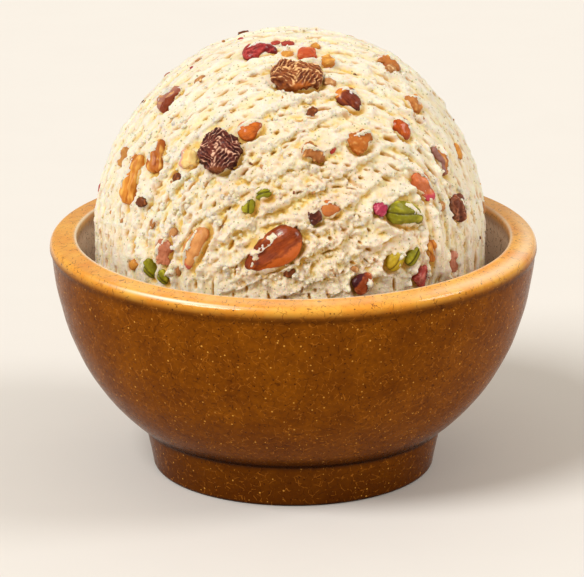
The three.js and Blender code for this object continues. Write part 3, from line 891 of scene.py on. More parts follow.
    def pooled_and_shaded(self, radius: Array, height: Array, is_inside: Array) -> Array:
        """Painted shade on the glaze: in the crease, where the glaze also gathers, at the foot's edge, over
        the foot and under the lip.

        Args:
            radius: distance from the axis of each point.
            height: height of each ring.
            is_inside: 1 on the inner wall and 0 elsewhere, for each ring.

        Returns:
            The share of painted shade, partly glaze that gathers in the crease.
        """
        crease = bell(height, *self.pool_and_shade) * bell(radius, *self.pool_radius)
        edge = bell(height, 0.0, 0.7) * eased(radius, self.ring_outer - 1.2, self.ring_outer + 0.3)
        under_lip = self.under_lip * bell(height, self.side_end[1], 1.0)
        over_foot = self.over_foot * eased(-height, -19.5, -14.0) * eased(height, 13.6, 14.0)
        return np.maximum(crease, edge * self.foot_shade) + (under_lip + over_foot) * (1.0 - is_inside)

    def surface(self) -> Surface:
        """The outline turned round the axis, with a slow wobble of the potter's hand above the foot."""
        outline, outer = self.outline()
        radius, height = outline[:, 0, None], outline[:, 1, None]
        turn = np.linspace(0.0, 2.0 * math.pi, self.columns, endpoint=False)[None, :]
        hand = np.sin(3 * turn + 0.7) * 0.5
        hand = hand + np.sin(7 * turn + height * 0.05) * 0.3 + np.sin(height * 0.5 + turn) * 0.4
        radius = radius + self.wobble * hand * eased(height, *self.firm_foot) * np.minimum(1.0, radius / 40.0)
        upright = np.broadcast_to(height, radius.shape)
        rings = np.stack([radius * np.cos(turn), radius * np.sin(turn), upright], axis=-1)
        ones = np.ones_like(turn)
        is_inside = (np.arange(len(outline))[:, None] >= outer).astype(float)
        lip = eased(height, 69.6, 72.9) * (1.0 - is_inside * eased(-height, -72.6, -70.0))
        marks = {
            "lip": np.clip(lip, 0.0, 1.0) * ones,
            # inside: pale painted reflection on the inner wall below the mouth
            "inside": is_inside * eased(-height, -72.4, -69.0) * ones,
            # edge: painted highlight along the lip, partly thin glaze at the mouth
            "edge": self.highlight_and_thin_glaze(radius, height, turn),
            # painted shade in the crease, over the foot and under the lip, partly gathered glaze
            "pool_and_shade": self.pooled_and_shaded(radius, height, is_inside) * ones,
        }
        first = np.array([0.0, 0.0, self.recess[1]])
        last = np.array([0.0, 0.0, self.floor_height])
        return Surface.from_rings(rings, first, last, marks)

    def build(self, effects: Effects) -> None:
        """Adds the bowl."""
        add_piece("glazed_bowl", self.surface(), Glaze().build(effects), "glaze", "bowl")


# ---- Fruit and nuts ------------------------------------------------------------------------------


class Relief(Enum):
    """How the surface of a piece is worked."""

    CROSSED = "parallel wrinkles that turn at a cross"
    WRINKLED = "wandering wrinkles"
    SMOOTH = "smooth skin with faint lines"
    FIBROUS = "torn fibres and a fold"
    LEAFY = "flat facets with creases"
    CHIPPED = "chipped and broken faces"
    CANDIED = "soft cube with dimples"


@dataclass(frozen=True)
class Form:
    """How a kind of piece departs from a plain ellipsoid, and how its surface is worked.

    depth is the height of its relief and uneven that of its broad lumps, both in millimetres. cover
    says how far the ice cream closes over it.
    """

    square: float
    taper: float
    bend: float
    lobes: int
    dent: float
    thick: float
    relief: Relief
    depth: float
    uneven: float
    cover: float = 1.0


FORMS = {
    "raisin": Form(0.8, 0.05, 0.0, 4, 0.08, 0.62, Relief.WRINKLED, 0.5, 1.0, 0.5),
    "almond": Form(0.95, 0.32, 0.04, 2, 0.03, 0.62, Relief.SMOOTH, 0.14, 0.2),
    "pistachio": Form(0.92, 0.18, 0.05, 3, 0.05, 0.72, Relief.LEAFY, 0.4, 0.2),
    "cranberry": Form(0.85, 0.22, 0.1, 3, 0.09, 0.66, Relief.WRINKLED, 0.35, 0.6),
    "apricot": Form(0.62, 0.12, 0.12, 3, 0.08, 0.7, Relief.FIBROUS, 0.55, 0.45),
    "nut": Form(0.72, 0.16, 0.06, 3, 0.08, 0.72, Relief.CHIPPED, 0.6, 0.75),
    "cashew": Form(0.9, -0.12, 0.2, 2, 0.06, 0.8, Relief.SMOOTH, 0.2, 0.45),
    "candied": Form(0.55, 0.05, 0.05, 4, 0.05, 0.75, Relief.CANDIED, 0.4, 0.7),
}


def node_triangles(name: str) -> Array:
    """Triangles of a frame node in millimetres, as triangles x corners x 3."""
    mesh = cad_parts[name].data
    points = np.empty(len(mesh.vertices) * 3, np.float32)
    mesh.vertices.foreach_get("co", points)
    mesh.calc_loop_triangles()
    corners = np.empty(len(mesh.loop_triangles) * 3, np.int32)
    mesh.loop_triangles.foreach_get("vertices", corners)
    return points.reshape(-1, 3)[corners].reshape(-1, 3, 3).astype(float) / MM


def mass_of(corners: Array) -> Arrays:
    """Middle of a closed solid, and how its volume spreads round it.

    Args:
        corners: its triangles, as triangles x corners x 3.

    Returns:
        The middle, and a matrix of sums of products of distances from it.
    """
    middle = corners.reshape(-1, 3).mean(axis=0)
    for _ in range(2):
        a, b, c = (corners[:, i] - middle for i in range(3))
        weight = np.sum(a * np.cross(b, c), axis=1)
        middle = middle + (weight[:, None] * (a + b + c)).sum(axis=0) / (4.0 * weight.sum())
    a, b, c = (corners[:, i] - middle for i in range(3))
    spread = sum(np.einsum("n,ni,nj->ij", weight, p, p) for p in (a, b, c, a + b + c))
    return middle, spread


@dataclass(frozen=True)
class Seat:
    """Where a piece lies and how large it is, in millimetres, with its own three directions."""

    middle: Array
    along: Array
    across: Array
    out: Array
    half_long: float
    half_wide: float
    half_thick: float
    cover: float

    FULLER = 1.04

    @staticmethod
    def of_node(name: str, form: Form, ball_centre: Array) -> "Seat":
        """Reads a seat from a node: its long axis is the main axis of its volume in the ball's skin.

        Args:
            name: the frame's node.
            form: the kind's form, whose taper tells which end is the narrow one.
            ball_centre: middle of the ball of ice cream.

        Returns:
            The seat.
        """
        corners = node_triangles(name)
        middle, spread = mass_of(corners)
        out = unit(middle - ball_centre)
        east = unit(np.cross(UP, out))
        flat = np.stack([east, np.cross(out, east)])
        _, axes = np.linalg.eigh(flat @ spread @ flat.T)
        along = axes[:, 1] @ flat
        reach = corners.reshape(-1, 3) @ along
        lean = (reach.max() + reach.min()) / 2.0 - middle @ along
        if lean * form.taper < 0.0:
            along = -along
        across = np.cross(out, along)
        low = np.array([(corners @ axis).min() for axis in (along, across, out)])
        high = np.array([(corners @ axis).max() for axis in (along, across, out)])
        centre, half = (low + high) / 2.0, (high - low) / 2.0
        wide = half[1] * Seat.FULLER
        place = along * centre[0] + across * (middle @ across) + out * centre[2]
        return Seat(place, along, across, out, half[0], wide, wide * form.thick, form.cover)


@dataclass(frozen=True)
class Morsel:
    """One piece of fruit or nut: the node that it stands for, its kind and its skin."""

    node: str
    kind: str
    skin: Skin
    relief: Relief | None = None
    rings: int = 60
    columns: int = 72
    cover: float = 1.0

    LUMP_SIZE = 3.0

    def form(self) -> Form:
        """Form of the piece's kind, with its own relief where it has one and its own share of cover."""
        form = FORMS[self.kind]
        return replace(form, relief=self.relief or form.relief, cover=form.cover * self.cover)

    def surface(self, seat: Seat) -> Surface:
        """The piece's surface.

        It starts as a ball with its ends along the piece. Powers square it, one end is narrowed, the
        middle is bent sideways and lobes are pressed along it. Its own relief then moves each point
        along the surface's outward direction.

        Args:
            seat: where it lies.

        Returns:
            The surface with the marks skin, share and crest.
        """
        form = self.form()
        level, angle = ball_grid(self.rings, self.columns)
        along, side, lift = np.moveaxis(ball_rings(level, angle, form.square), -1, 0)
        lobe = 1.0 + form.dent * np.cos(form.lobes * angle + 3.0 * along)
        narrow = (1.0 - form.taper * along) * lobe
        side, lift = side * narrow, lift * narrow
        bent = form.bend * (1.0 - 2.0 * along**2)
        halves = np.array([seat.half_long, seat.half_wide, seat.half_thick])
        local = np.stack([along, side + bent, lift], axis=-1) * halves
        share = np.stack([along, side, lift], axis=-1)
        seed = len(self.node) * 7 + ord(self.node[-1])
        relief, crest = Workshop(local, share, seed).worked(form.relief)
        height = form.depth * relief + form.uneven * Noise(seed + 2).at(local / self.LUMP_SIZE)
        local = local + outward_of(local) * (height * np.sin(level) ** 0.5)[..., None]
        ends = [np.array([sign * seat.half_long, -form.bend * seat.half_wide, 0.0]) for sign in (1.0, -1.0)]
        basis = np.stack([seat.along, seat.across, seat.out])
        first, last = (end @ basis + seat.middle for end in ends)
        marks = {"skin": local * MM, "share": share, "crest": np.clip(crest, 0.0, 1.0)}
        return Surface.from_rings(local @ basis + seat.middle, first, last, marks)

    def build(self, seat: Seat, effects: Effects) -> None:
        """Adds the piece in its seat."""
        skin = self.skin.build(self.node, effects)
        add_piece("fruit_" + self.node, self.surface(seat), skin, self.kind, self.node)


def outward_of(rings: Array) -> Array:
    """Unit outward directions of a stack of closed rings round the origin."""
    down = np.gradient(rings, axis=0)
    around = (np.roll(rings, -1, axis=1) - np.roll(rings, 1, axis=1)) / 2.0
    normal = unit(np.cross(down, around))
    return normal * np.sign(np.sum(normal * rings))


class Workshop:
    """The relief of a piece's surface, and how near its points are to a crest, for each way of working.

    Each way adds up waves, ridges and noise of its own sizes, in millimetres, along (x), across (y) and
    out of (z) the piece. A relief of 1 is as high as the form's depth.
    """

    def __init__(self, local: Array, share: Array, seed: int) -> None:
        """Keeps the points.

        Args:
            local: points in the piece's own frame, in millimetres.
            share: the same points as shares of the half sizes.
            seed: of the random draws.
        """
        self.noise, self.other = Noise(seed), Noise(seed + 1)
        self.local = local
        self.x, self.y, self.z = (local[..., i] for i in range(3))
        self.radial = np.hypot(share[..., 0], share[..., 1])

    def worked(self, kind: Relief) -> Arrays:
        """The relief and the crests of one way of working."""
        ways = {
            Relief.CROSSED: self.crossed,
            Relief.WRINKLED: self.wrinkled,
            Relief.SMOOTH: self.smooth,
            Relief.FIBROUS: self.fibrous,
            Relief.LEAFY: self.leafy,
            Relief.CHIPPED: self.chipped,
            Relief.CANDIED: self.candied,
        }
        return ways[kind]()

    def pulled(self, along: float, size: float) -> Array:
        """Noise coordinates of a size across the piece, stretched along it."""
        return self.local * np.array([along, 1.0, 1.0]) / size

    def crossed(self) -> Arrays:
        """Parallel wrinkles that turn in each quarter, a raised cross between them and knobs outside."""
        spacing, steep, flat = 1.05, np.radians(66.0), np.radians(-28.0)
        shift = 0.8 * self.noise.at(self.local / 3.0)
        x, y = self.x + shift, self.y + shift
        slant = np.where(x * y > 0, steep, flat)
        lines = self.x * np.cos(slant) + self.y * np.sin(slant)
        wave = np.sin(lines * math.pi / spacing + 1.5 * self.noise.at(self.local / 1.6))
        broken = np.clip(0.75 + 0.8 * self.other.at(self.local / 1.2), 0.0, 1.2)
        ridge = (1.0 - 2.0 * np.abs(wave)) * broken
        cross = np.maximum(bell(x, 0.0, 0.5), bell(y, 0.0, 0.4)) * eased(self.z, -0.2, 0.6)
        cross *= np.clip(0.9 + self.noise.at(self.local / 1.4), 0.0, 1.0)
        knobs = self.other.at(self.local / 1.5) * eased(self.radial, 0.55, 0.9)
        relief = 0.55 * ridge + 0.45 * cross + 1.1 * knobs + 0.4 * self.noise.at(self.local / 0.7)
        return relief, 0.36 + 0.5 * ridge + 0.6 * cross + 0.2 * self.other.at(self.local / 0.6)

    def wrinkled(self) -> Arrays:
        """Wandering ridges with finer ones between."""
        ridge = self.noise.ridges(self.pulled(0.45, 1.9))
        fine = self.other.ridges(self.local)
        return 0.75 * ridge + 0.35 * fine, 0.35 + 0.35 * ridge + 0.25 * fine

    def smooth(self) -> Arrays:
        """Faint lines along the piece, over a slow swell."""
        lines = self.noise.at(self.pulled(0.16, 0.8))
        swell = self.other.at(self.local / 3.5)
        return 0.5 * lines + 1.4 * swell, 0.5 + 0.25 * lines + 0.2 * swell

    def fibrous(self) -> Arrays:
        """Fibres along the piece, with one fold down its middle."""
        fibres = self.noise.ridges(self.pulled(0.14, 1.2))
        fold = bell(self.y - 0.8 * np.sin(self.x / 3.0), -0.15, 0.55)
        lumps = self.other.at(self.local / 2.4)
        return 0.45 * fibres - 1.3 * fold + 0.7 * lumps, 0.5 + 0.3 * fibres - 0.6 * fold + 0.3 * lumps

    def leafy(self) -> Arrays:
        """Facets with one crease along the top."""
        facets = np.abs(self.noise.at(self.local * np.array([0.35, 0.8, 0.8]) / 2.2))
        crease = bell(self.y - 0.5 * np.sin(self.x / 2.6), 0.0, 0.3) * eased(self.z, 0.0, 0.5)
        rough = self.other.at(self.local / 0.9)
        crest = 0.45 + 0.5 * facets - 0.8 * crease + 0.15 * rough
        return 0.9 * facets - 1.1 * crease + 0.25 * rough, crest

    def chipped(self) -> Arrays:
        """Broken faces with crumbs on them."""
        chips = np.abs(self.noise.at(self.local / 2.0)) * 2.0 - 0.6
        crumbs = self.other.ridges(self.local / 1.1)
        return 0.7 * chips + 0.3 * crumbs, 0.5 + 0.35 * chips + 0.15 * crumbs

    def candied(self) -> Arrays:
        """Dimples with a rough coat of sugar."""
        dimples = self.noise.at(self.local / 2.2)
        sugar = self.other.ridges(self.local)
        return 0.8 * dimples + 0.3 * sugar, 0.5 + 0.35 * dimples + 0.2 * sugar


SKINS = {
    "raisin": Skin((44, 20, 14), (96, 52, 30), (196, 132, 88), roughness=0.45, coat=0.08, bump=0.5),
    "almond": Skin((112, 38, 6), (190, 86, 22), (218, 116, 42), roughness=0.28, coat=0.35, grain=0.5,
                   stretch=7.0),
    "pistachio": Skin((92, 84, 10), (146, 142, 22), (196, 188, 54), roughness=0.42, coat=0.15, stretch=3.0),
    "cranberry": Skin((86, 10, 18), (150, 34, 38), (206, 80, 76), roughness=0.3, coat=0.25, glow=0.1),
    "apricot": Skin((176, 96, 24), (226, 150, 60), (250, 194, 100), coat=0.12, grain=0.6, stretch=9.0,
                    bump=0.5),
    "nut": Skin((150, 80, 34), (202, 128, 64), (234, 176, 106), roughness=0.5, coat=0.05, bump=0.5),
    "cashew": Skin((192, 116, 62), (230, 168, 104), (246, 200, 142), roughness=0.42, coat=0.08),
    "candied": Skin((168, 66, 36), (206, 100, 62), (238, 150, 98), roughness=0.3, coat=0.22, glow=0.15),
}
FINE = {"rings": 110, "columns": 120}


def morsel(
    node: str, kind: str, cover: float = 1.0, grid: dict[str, int] | None = None,
    relief: Relief | None = None, **changes: Any,
) -> Morsel:
    """A piece with the skin of its kind, but for what differs in its own.

    Args:
        node: the frame's node.
        kind: the piece's kind.
        cover: how far the ice cream closes over it, against its kind's own.
        grid: its own numbers of rings and columns.
        relief: its own way of working.
        changes: the fields of the skin that differ.

    Returns:
        The piece.
    """
    return Morsel(node, kind, replace(SKINS[kind], **changes), relief, cover=cover, **(grid or {}))


FRONT = [
    morsel("raisin_top", "raisin", 1.0, FINE, Relief.CROSSED, deep=(96, 42, 20), body=(166, 94, 52),
           bright=(250, 200, 140), accent=(184, 100, 36), accent_side=(0.0, -1.0), accent_from=0.8,
           bright_from=0.36, deep_to=0.24),
    morsel("raisin_left", "raisin", 1.0, FINE, Relief.CROSSED, deep=(54, 16, 14), body=(124, 58, 44),
           bright=(240, 190, 160), accent=(132, 70, 34), accent_side=(0.0, -1.0), accent_from=0.78,
           bright_from=0.42, deep_to=0.28),
    morsel("raisin_right", "raisin", 1.8, body=(132, 68, 44), bright=(188, 120, 84)),
    morsel("almond_front", "almond", 1.4, {"rings": 96, "columns": 96}, deep=(92, 28, 4), body=(158, 66, 16),
           accent=(206, 102, 36), accent_side=(0.0, 1.0), accent_from=0.35),
    morsel("almond_left", "almond", 1.3, body=(224, 118, 40), accent=(216, 132, 96),
           accent_side=(0.0, 1.0), accent_from=0.25),
    morsel("almond_top_right", "almond", 1.3, deep=(70, 22, 14), body=(134, 56, 32), accent=(216, 130, 46),
           accent_side=(-1.0, 0.0), accent_from=0.35),
    morsel("almond_right", "almond", 1.3, body=(206, 88, 22), bright=(230, 122, 44)),
    morsel("almond_middle", "almond", deep=(172, 86, 34), body=(206, 126, 66), coat=0.2),
    morsel("apricot_left", "apricot", 1.3),
    morsel("apricot_fold", "apricot", 1.4, deep=(140, 66, 20), body=(196, 112, 40)),
    morsel("pistachio_right", "pistachio", accent=(122, 96, 40), accent_from=0.72),
    morsel("pistachio_yellow", "pistachio", deep=(150, 122, 22), body=(200, 172, 44), bright=(226, 206, 92)),
    morsel("pistachio_leaf", "pistachio"),
    morsel("pistachio_upper", "pistachio", body=(146, 144, 20)),
    morsel("pistachio_lower", "pistachio", body=(150, 144, 22), bright=(210, 198, 64)),
    morsel("pistachio_low_left", "pistachio"),
    morsel("pistachio_low_inner", "pistachio"),
    morsel("cranberry_top", "cranberry", 1.2),
    morsel("cranberry_right", "cranberry", deep=(128, 20, 52), body=(188, 56, 90), bright=(226, 120, 140)),
    morsel("cherry_right", "candied", deep=(152, 48, 48), body=(190, 86, 78), bright=(224, 142, 128)),
    morsel("papaya_top", "candied", body=(206, 92, 50)),
    morsel("papaya_right", "candied", 1.2, deep=(176, 84, 48), body=(208, 118, 70), accent=(196, 72, 88),
           accent_from=0.45),
    morsel("pineapple_left", "candied", deep=(222, 176, 104), body=(240, 206, 130), bright=(250, 226, 160),
           accent=(226, 164, 146), accent_side=(-1.0, 0.0), accent_from=0.3),
    morsel("date_front", "candied", 1.4, deep=(110, 36, 26), body=(176, 82, 36), accent=(70, 26, 34),
           accent_side=(-0.6, 0.8), accent_from=0.5),
    morsel("date_middle", "candied", deep=(52, 20, 16), body=(88, 36, 24), bright=(128, 62, 40)),
    morsel("peel_right", "apricot", 1.3, body=(216, 144, 66), deep=(186, 104, 40)),
    morsel("cashew_left", "cashew", 1.3, accent=(204, 104, 86), accent_side=(-1.0, 0.0), accent_from=0.62),
    morsel("nut_top_left", "nut", 1.3, deep=(150, 70, 50), body=(178, 128, 112), accent=(132, 58, 32),
           accent_side=(-0.4, -0.9), accent_from=0.25),
    morsel("nut_edge_left", "nut", 1.4, body=(206, 150, 80)),
    morsel("nut_pink_left", "nut", 1.3, deep=(154, 82, 60), body=(198, 128, 94), bright=(228, 166, 132)),
    morsel("nut_top_right", "nut", 1.4, accent=(172, 136, 124), accent_side=(0.0, 1.0)),
    morsel("nut_upper_right", "nut", 1.3, body=(208, 138, 72)),
    morsel("nut_middle_right", "nut", 1.6, deep=(160, 82, 24), body=(194, 112, 44)),
    morsel("nut_middle", "nut", 1.6, deep=(134, 76, 36), body=(180, 114, 60)),
    morsel("nut_slit_right", "nut", 1.4, body=(206, 132, 66), accent=(150, 106, 98), accent_side=(0.0, -1.0),
           accent_from=0.3),
    morsel("nut_low_right", "nut", 1.4, body=(214, 146, 124), bright=(236, 180, 160)),
]


def back_morsels() -> list[Morsel]:
    """The pieces of the sides and back, whose nodes are named after their kind."""
    names = [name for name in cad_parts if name.startswith("back_")]
    names.sort(key=lambda name: int(name.split("_")[2]))
    return [morsel(name, name.split("_")[1]) for name in names]


# ---- Ice cream -----------------------------------------------------------------------------------


@dataclass(frozen=True)
class Swelling:
    """A broad swelling or hollow that keeps the ball from being round."""

    east: float
    rise: float
    height: float
    spread: float


@dataclass(frozen=True)
class Ledges:
    """A family of small ledges across the streaks.

    calm and torn are their heights in millimetres where the surface is calm and where it is torn.
    stray and jagged move their edges, in spacings, and the patch numbers let them come and go.
    """

    spacing: float
    steep: float
    calm: float
    torn: float
    stray: float
    stray_size: float
    jagged: float
    patch_least: float
    patch_swing: float
    patch_size: float

    PATCH_MOST = 1.25


@dataclass(frozen=True)
class Texture:
    """The finer relief of the ice cream: sizes and heights in millimetres, and shares.

    sizes and jags go from coarse to fine noise and say how far it jags the ledges. crumbly holds
    what the torn part, the lower left and random patches add. A pair of sizes is along the streaks and
    across, grain and streak are heights where the surface is calm and torn, and pore_in is the range
    over which a pore opens.
    """

    sizes: Triple = (4.6, 2.3, 1.3)
    jags: Triple = (0.24, 0.15, 0.07)
    crumbly: Triple = (0.8, 0.8, 0.7)
    crumbly_size: float = 19.0
    crumbly_start: float = 4.0
    crumbly_least: float = 0.03
    nub_size: float = 3.3
    nub: float = 1.9
    small_nub_size: float = 1.5
    small_nub: float = 1.2
    nub_down: float = 1.0
    pore_size: Pair = (2.7, 1.9)
    pore_ragged: float = 0.25
    pore_in: Pair = (0.5, 0.78)
    pore: float = 0.6
    rough_size: float = 1.15
    rough_start: float = 9.0
    rough: float = 0.7
    lump_size: Pair = (5.0, 4.0)
    lump: float = 0.5
    medium: float = 0.16
    grain_size: float = 0.8
    grain: Pair = (0.04, 0.13)
    streak_size: Pair = (9.0, 1.1)
    streak: Pair = (0.1, 0.06)


@dataclass(frozen=True)
class Slit:
    """A slit along the streaks: the way to it, its line, and its half sizes and depth."""

    out: Array
    line: Array
    half_long: float
    half_wide: float
    deep: float


@dataclass(frozen=True)
class Drawn:
    """How the scoop drew the surface at many points.

    across is the distance over the streaks in millimetres, torn how torn the surface is and straight
    the share of straight streaks. polar and turn are the angles from the rings' axis and round it.
    """

    across: Array
    torn: Array
    straight: Array
    polar: Array
    turn: Array


@dataclass(frozen=True)
class Pocket:
    """How the ice cream closes round a piece of fruit.

    bare is how far out the piece stays bare, as a share of its half sizes: far_cover and near_bare
    change it on its upper and lower side, and ragged, crumbly and patchy make it uneven. The others
    are in millimetres.
    """

    roundness: float = 2.4
    bare: float = 0.86
    far_cover: float = 0.36
    near_bare: float = 0.08
    ragged: float = 0.19
    ragged_size: float = 2.3
    crumbly: float = 0.14
    crumbly_size: float = 1.0
    patchy: float = 0.3
    patchy_size: float = 3.7
    lip: float = 0.8
    lip_near: float = 0.35
    lip_uneven: float = 1.6
    highest_lip: float = 2.1
    lip_out: float = 0.5
    lip_end: float = 2.4
    gap_deep: float = 1.7
    gap_out: float = 0.4
    gap_wide: float = 0.7
    rim_high: float = 1.25
    rim_out: float = 1.9
    rim_wide: float = 0.8
    rim_mean: float = 0.75
    rim_uneven: float = 6.0
    rim_range: Pair = (0.1, 1.6)
    # hollow, hollow_out and hollow_wide place painted shade beside the piece, stronger on its lower side.
    hollow: Pair = (0.1, 0.6)
    hollow_out: float = 0.2
    hollow_wide: float = 0.8
    under: float = 0.6
    beside: float = 4.0


# Middle of the ball of ice cream, in millimetres.
BALL_CENTRE = np.array([-1.0, 0.0, 77.0])
# The way that a step over the streaks takes through the space of a noise.
COMB_WAY = np.array([0.61, 0.37, -0.7])


@dataclass(frozen=True)
class IceCream:
    """The ball of ice cream, drawn into rings of ragged ledges round an axis that faces the viewer.

    Sizes are in millimetres and angles in degrees. A pair whose name ends in _in is the range over
    which something comes in. Pairs of the rib and the first two numbers of a deep slit are angles
    round the ball and up; a deep slit's others are its half length and half width.
    """

    bowl: Bowl
    seats: list[Seat]
    centre: Array
    radius: float = 59.6
    wall_gap: float = 0.7
    halvings: int = 26
    axis: Array = field(default_factory=lambda: unit(np.array([0.256, -0.964, -0.046])))
    spacing: float = 8.4
    steep: float = 0.16
    torn_height: float = 2.5
    calm_height: float = 1.2
    slow_sway: float = 0.34
    slow_start: float = 0.9
    quick_sway: float = 0.22
    sway_lost: float = 0.6
    edge_jagged: float = 0.6
    lean: Pair = (0.3, 1.0)
    lean_in: Pair = (0.45, 1.0)
    middle_in: Pair = (3.0, 12.0)
    middle_lower: float = 0.6
    patch_depth: float = 0.32
    patch_start: float = 1.7
    torn_way: Array = field(default_factory=lambda: direction_at(6.0, 16.0))
    torn_spread: float = 36.0
    torn_up: Array = field(default_factory=lambda: unit(np.array([-0.485, 0.27, 0.832])))
    torn_start: float = 29.0
    straight_in: Pair = (0.1, 0.45)
    crumbly_way: Array = field(default_factory=lambda: direction_at(-32.0, 10.0))
    crumbly_spread: float = 24.0
    fade_top: float = 66.0
    fade_bottom: float = 46.0
    melt_top: float = 79.0
    melt_bottom: float = 71.0
    melt_uneven: float = 2.0
    melt_left: float = 0.25
    swellings: tuple[Swelling, ...] = (
        Swelling(82, 56, 1.7, 17), Swelling(-85, 42, -1.6, 20), Swelling(88, 33, -1.1, 14),
        Swelling(40, 8, 0.9, 12), Swelling(-20, 58, 0.7, 16), Swelling(165, 44, 1.2, 22),
        Swelling(-140, 20, -1.2, 20), Swelling(130, 14, 0.8, 18),
    )
    families: tuple[Ledges, ...] = (
        Ledges(4.3, 0.2, 0.55, 1.45, 0.9, 12.0, 1.3, 0.62, 1.2, 6.0),
        Ledges(2.3, 0.3, 0.22, 0.7, 1.3, 7.0, 2.0, 0.45, 1.2, 4.0),
    )
    texture: Texture = Texture()
    rib: tuple[Pair, ...] = (
        (45.9, 29.2), (45.8, 24.6), (46.9, 18.4), (47.8, 7.9), (49.2, -2.3), (54.3, -5.5),
    )
    rib_height: float = 1.9
    rib_width: float = 1.7
    rib_wider: Pair = (0.8, 1.9)
    rib_wider_in: Pair = (2.4, 4.8)
    rib_start_in: Pair = (-0.2, 0.8)
    rib_smooth: float = 0.85
    rib_even: float = 0.7
    deep_slits: tuple[tuple[float, float, float, float], ...] = (
        (52.4, 26.5, 3.6, 0.75), (65.1, 13.4, 2.2, 0.7), (70.9, 7.4, 3.0, 0.6), (40.1, 38.5, 2.2, 0.9),
        (44.8, 31.0, 1.8, 0.8), (63.3, 1.4, 1.3, 0.8), (58.1, 20.5, 1.8, 0.7), (-48.3, 52.6, 2.6, 0.8),
        (-61.4, 12.0, 2.4, 0.7), (60.9, 52.0, 2.0, 0.8),
    )
    deep_slit: float = 1.7
    pocket: Pocket = Pocket()
    near_end: float = 62.0
    far_end: float = 110.0
    near_rings: int = 186
    far_rings: int = 104
    back_rings: int = 44
    open_columns: int = 264
    open_half: float = 116.0
    hidden_columns: int = 30
    noise: Noise = field(default_factory=lambda: Noise(11))
    other: Noise = field(default_factory=lambda: Noise(23))

    def streak_frame(self) -> Arrays:
        """Two directions square to the streaks' axis, the first as upright as can be."""
        upright = unit(UP - self.axis * self.axis[2])
        return upright, np.cross(self.axis, upright)

    def plain_reach(self, way: Array) -> Array:
        """Distance from the middle to the plain surface: a dome, a straight side and the bowl's wall."""
        level = np.hypot(way[..., 0], way[..., 1])
        far = np.minimum(self.radius / np.maximum(level, TINY), self.centre[2])
        far = np.where(way[..., 2] >= 0.0, self.radius, far)
        near = np.zeros_like(far)
        for _ in range(self.halvings):
            middle = (near + far) / 2.0
            point = self.centre + way * middle[..., None]
            lowered = point[..., 2] - self.wall_gap
            room = self.bowl.wall_radius(lowered) - self.wall_gap
            fits = (lowered >= self.bowl.mouth[1]) | (np.hypot(point[..., 0], point[..., 1]) < room)
            near = np.where(fits, middle, near)
            far = np.where(fits, far, middle)
        return np.where(way[..., 2] >= 0.0, self.radius, far)

    def swelling(self, way: Array) -> Array:
        """Sum of the broad swellings."""
        total = np.zeros(way.shape[:-1])
        for one in self.swellings:
            total += one.height * bell(angle_from(way, direction_at(one.east, one.rise)), 0.0, one.spread)
        return total

    def drawn(self, way: Array) -> Drawn:
        """How the scoop drew the surface.

        Over most of the ball its streaks are rings round the axis. Where the ball is torn they are
        straight and climb to the right, and the two patterns run into each other.

        Args:
            way: unit directions from the middle.

        Returns:
            The drawn pattern in those directions.
        """
        upright, sideways = self.streak_frame()
        polar = np.arccos(np.clip(way @ self.axis, -1.0, 1.0))
        turn = np.arctan2(way @ sideways, way @ upright)
        torn = bell(angle_from(way, self.torn_way), 0.0, self.torn_spread)
        straight = eased(torn, *self.straight_in)
        bands = way @ self.torn_up * self.radius + self.torn_start
        return Drawn(blend(polar * self.radius, bands, straight), torn, straight, polar, turn)

    def combed(self, spot: Array, across: Array, long: float, short: float) -> Array:
        """Noise coordinates that are long along the streaks and short across them, in millimetres."""
        return spot / long + (across / short)[..., None] * COMB_WAY

    def saw(self, phase: Array, steep: float) -> Array:
        """Saw tooth from 0 to 1: it climbs over the steep share and falls over the rest."""
        share = phase - np.floor(phase)
        return np.where(share < steep, share / steep, (1.0 - share) / (1.0 - steep))

    def main_ledges(self, drawn: Drawn, jagged: Array) -> Arrays:
        """The broad ledges that the frame has too, with ragged edges.

        Args:
            drawn: the drawn pattern.
            jagged: how far the edges are moved, in millimetres.

        Returns:
            Their height, and how far their crests lean over, both in millimetres.
        """
        sway = self.slow_sway * np.sin(2 * drawn.turn + self.slow_start)
        sway += self.quick_sway * np.sin(5 * drawn.turn + 3 * drawn.polar)
        sway *= 1.0 - self.sway_lost * drawn.straight
        phase = drawn.across / self.spacing + sway + self.edge_jagged * jagged
        uneven = np.sin(4 * drawn.turn + 5 * drawn.polar + self.patch_start)
        uneven *= np.sin(3 * drawn.turn - 4 * drawn.polar)
        patch = 1.0 + self.patch_depth * (uneven - 1.0)
        tooth = self.saw(phase, self.steep)
        height = blend(self.calm_height, self.torn_height, drawn.torn) * patch * (tooth - 0.5)
        middle = (1.0 - eased(np.degrees(drawn.polar), *self.middle_in)) * (1.0 - drawn.straight)
        lean = blend(*self.lean, drawn.torn) * patch * eased(tooth, *self.lean_in) * (1.0 - middle)
        return height * (1.0 - self.middle_lower * middle), lean

    def small_ledges(self, family: Ledges, spot: Array, drawn: Drawn, jagged: Array) -> Array:
        """Height of one family of small ledges, which come and go in patches."""
        stray = family.stray * self.noise.at(spot / family.stray_size)
        phase = drawn.across / family.spacing + stray + family.jagged * jagged
        patch = family.patch_least + family.patch_swing * self.other.at(spot / family.patch_size)
        height = blend(family.calm, family.torn, drawn.torn) * np.clip(patch, 0.0, family.PATCH_MOST)
        return height * (self.saw(phase, family.steep) - 0.5)

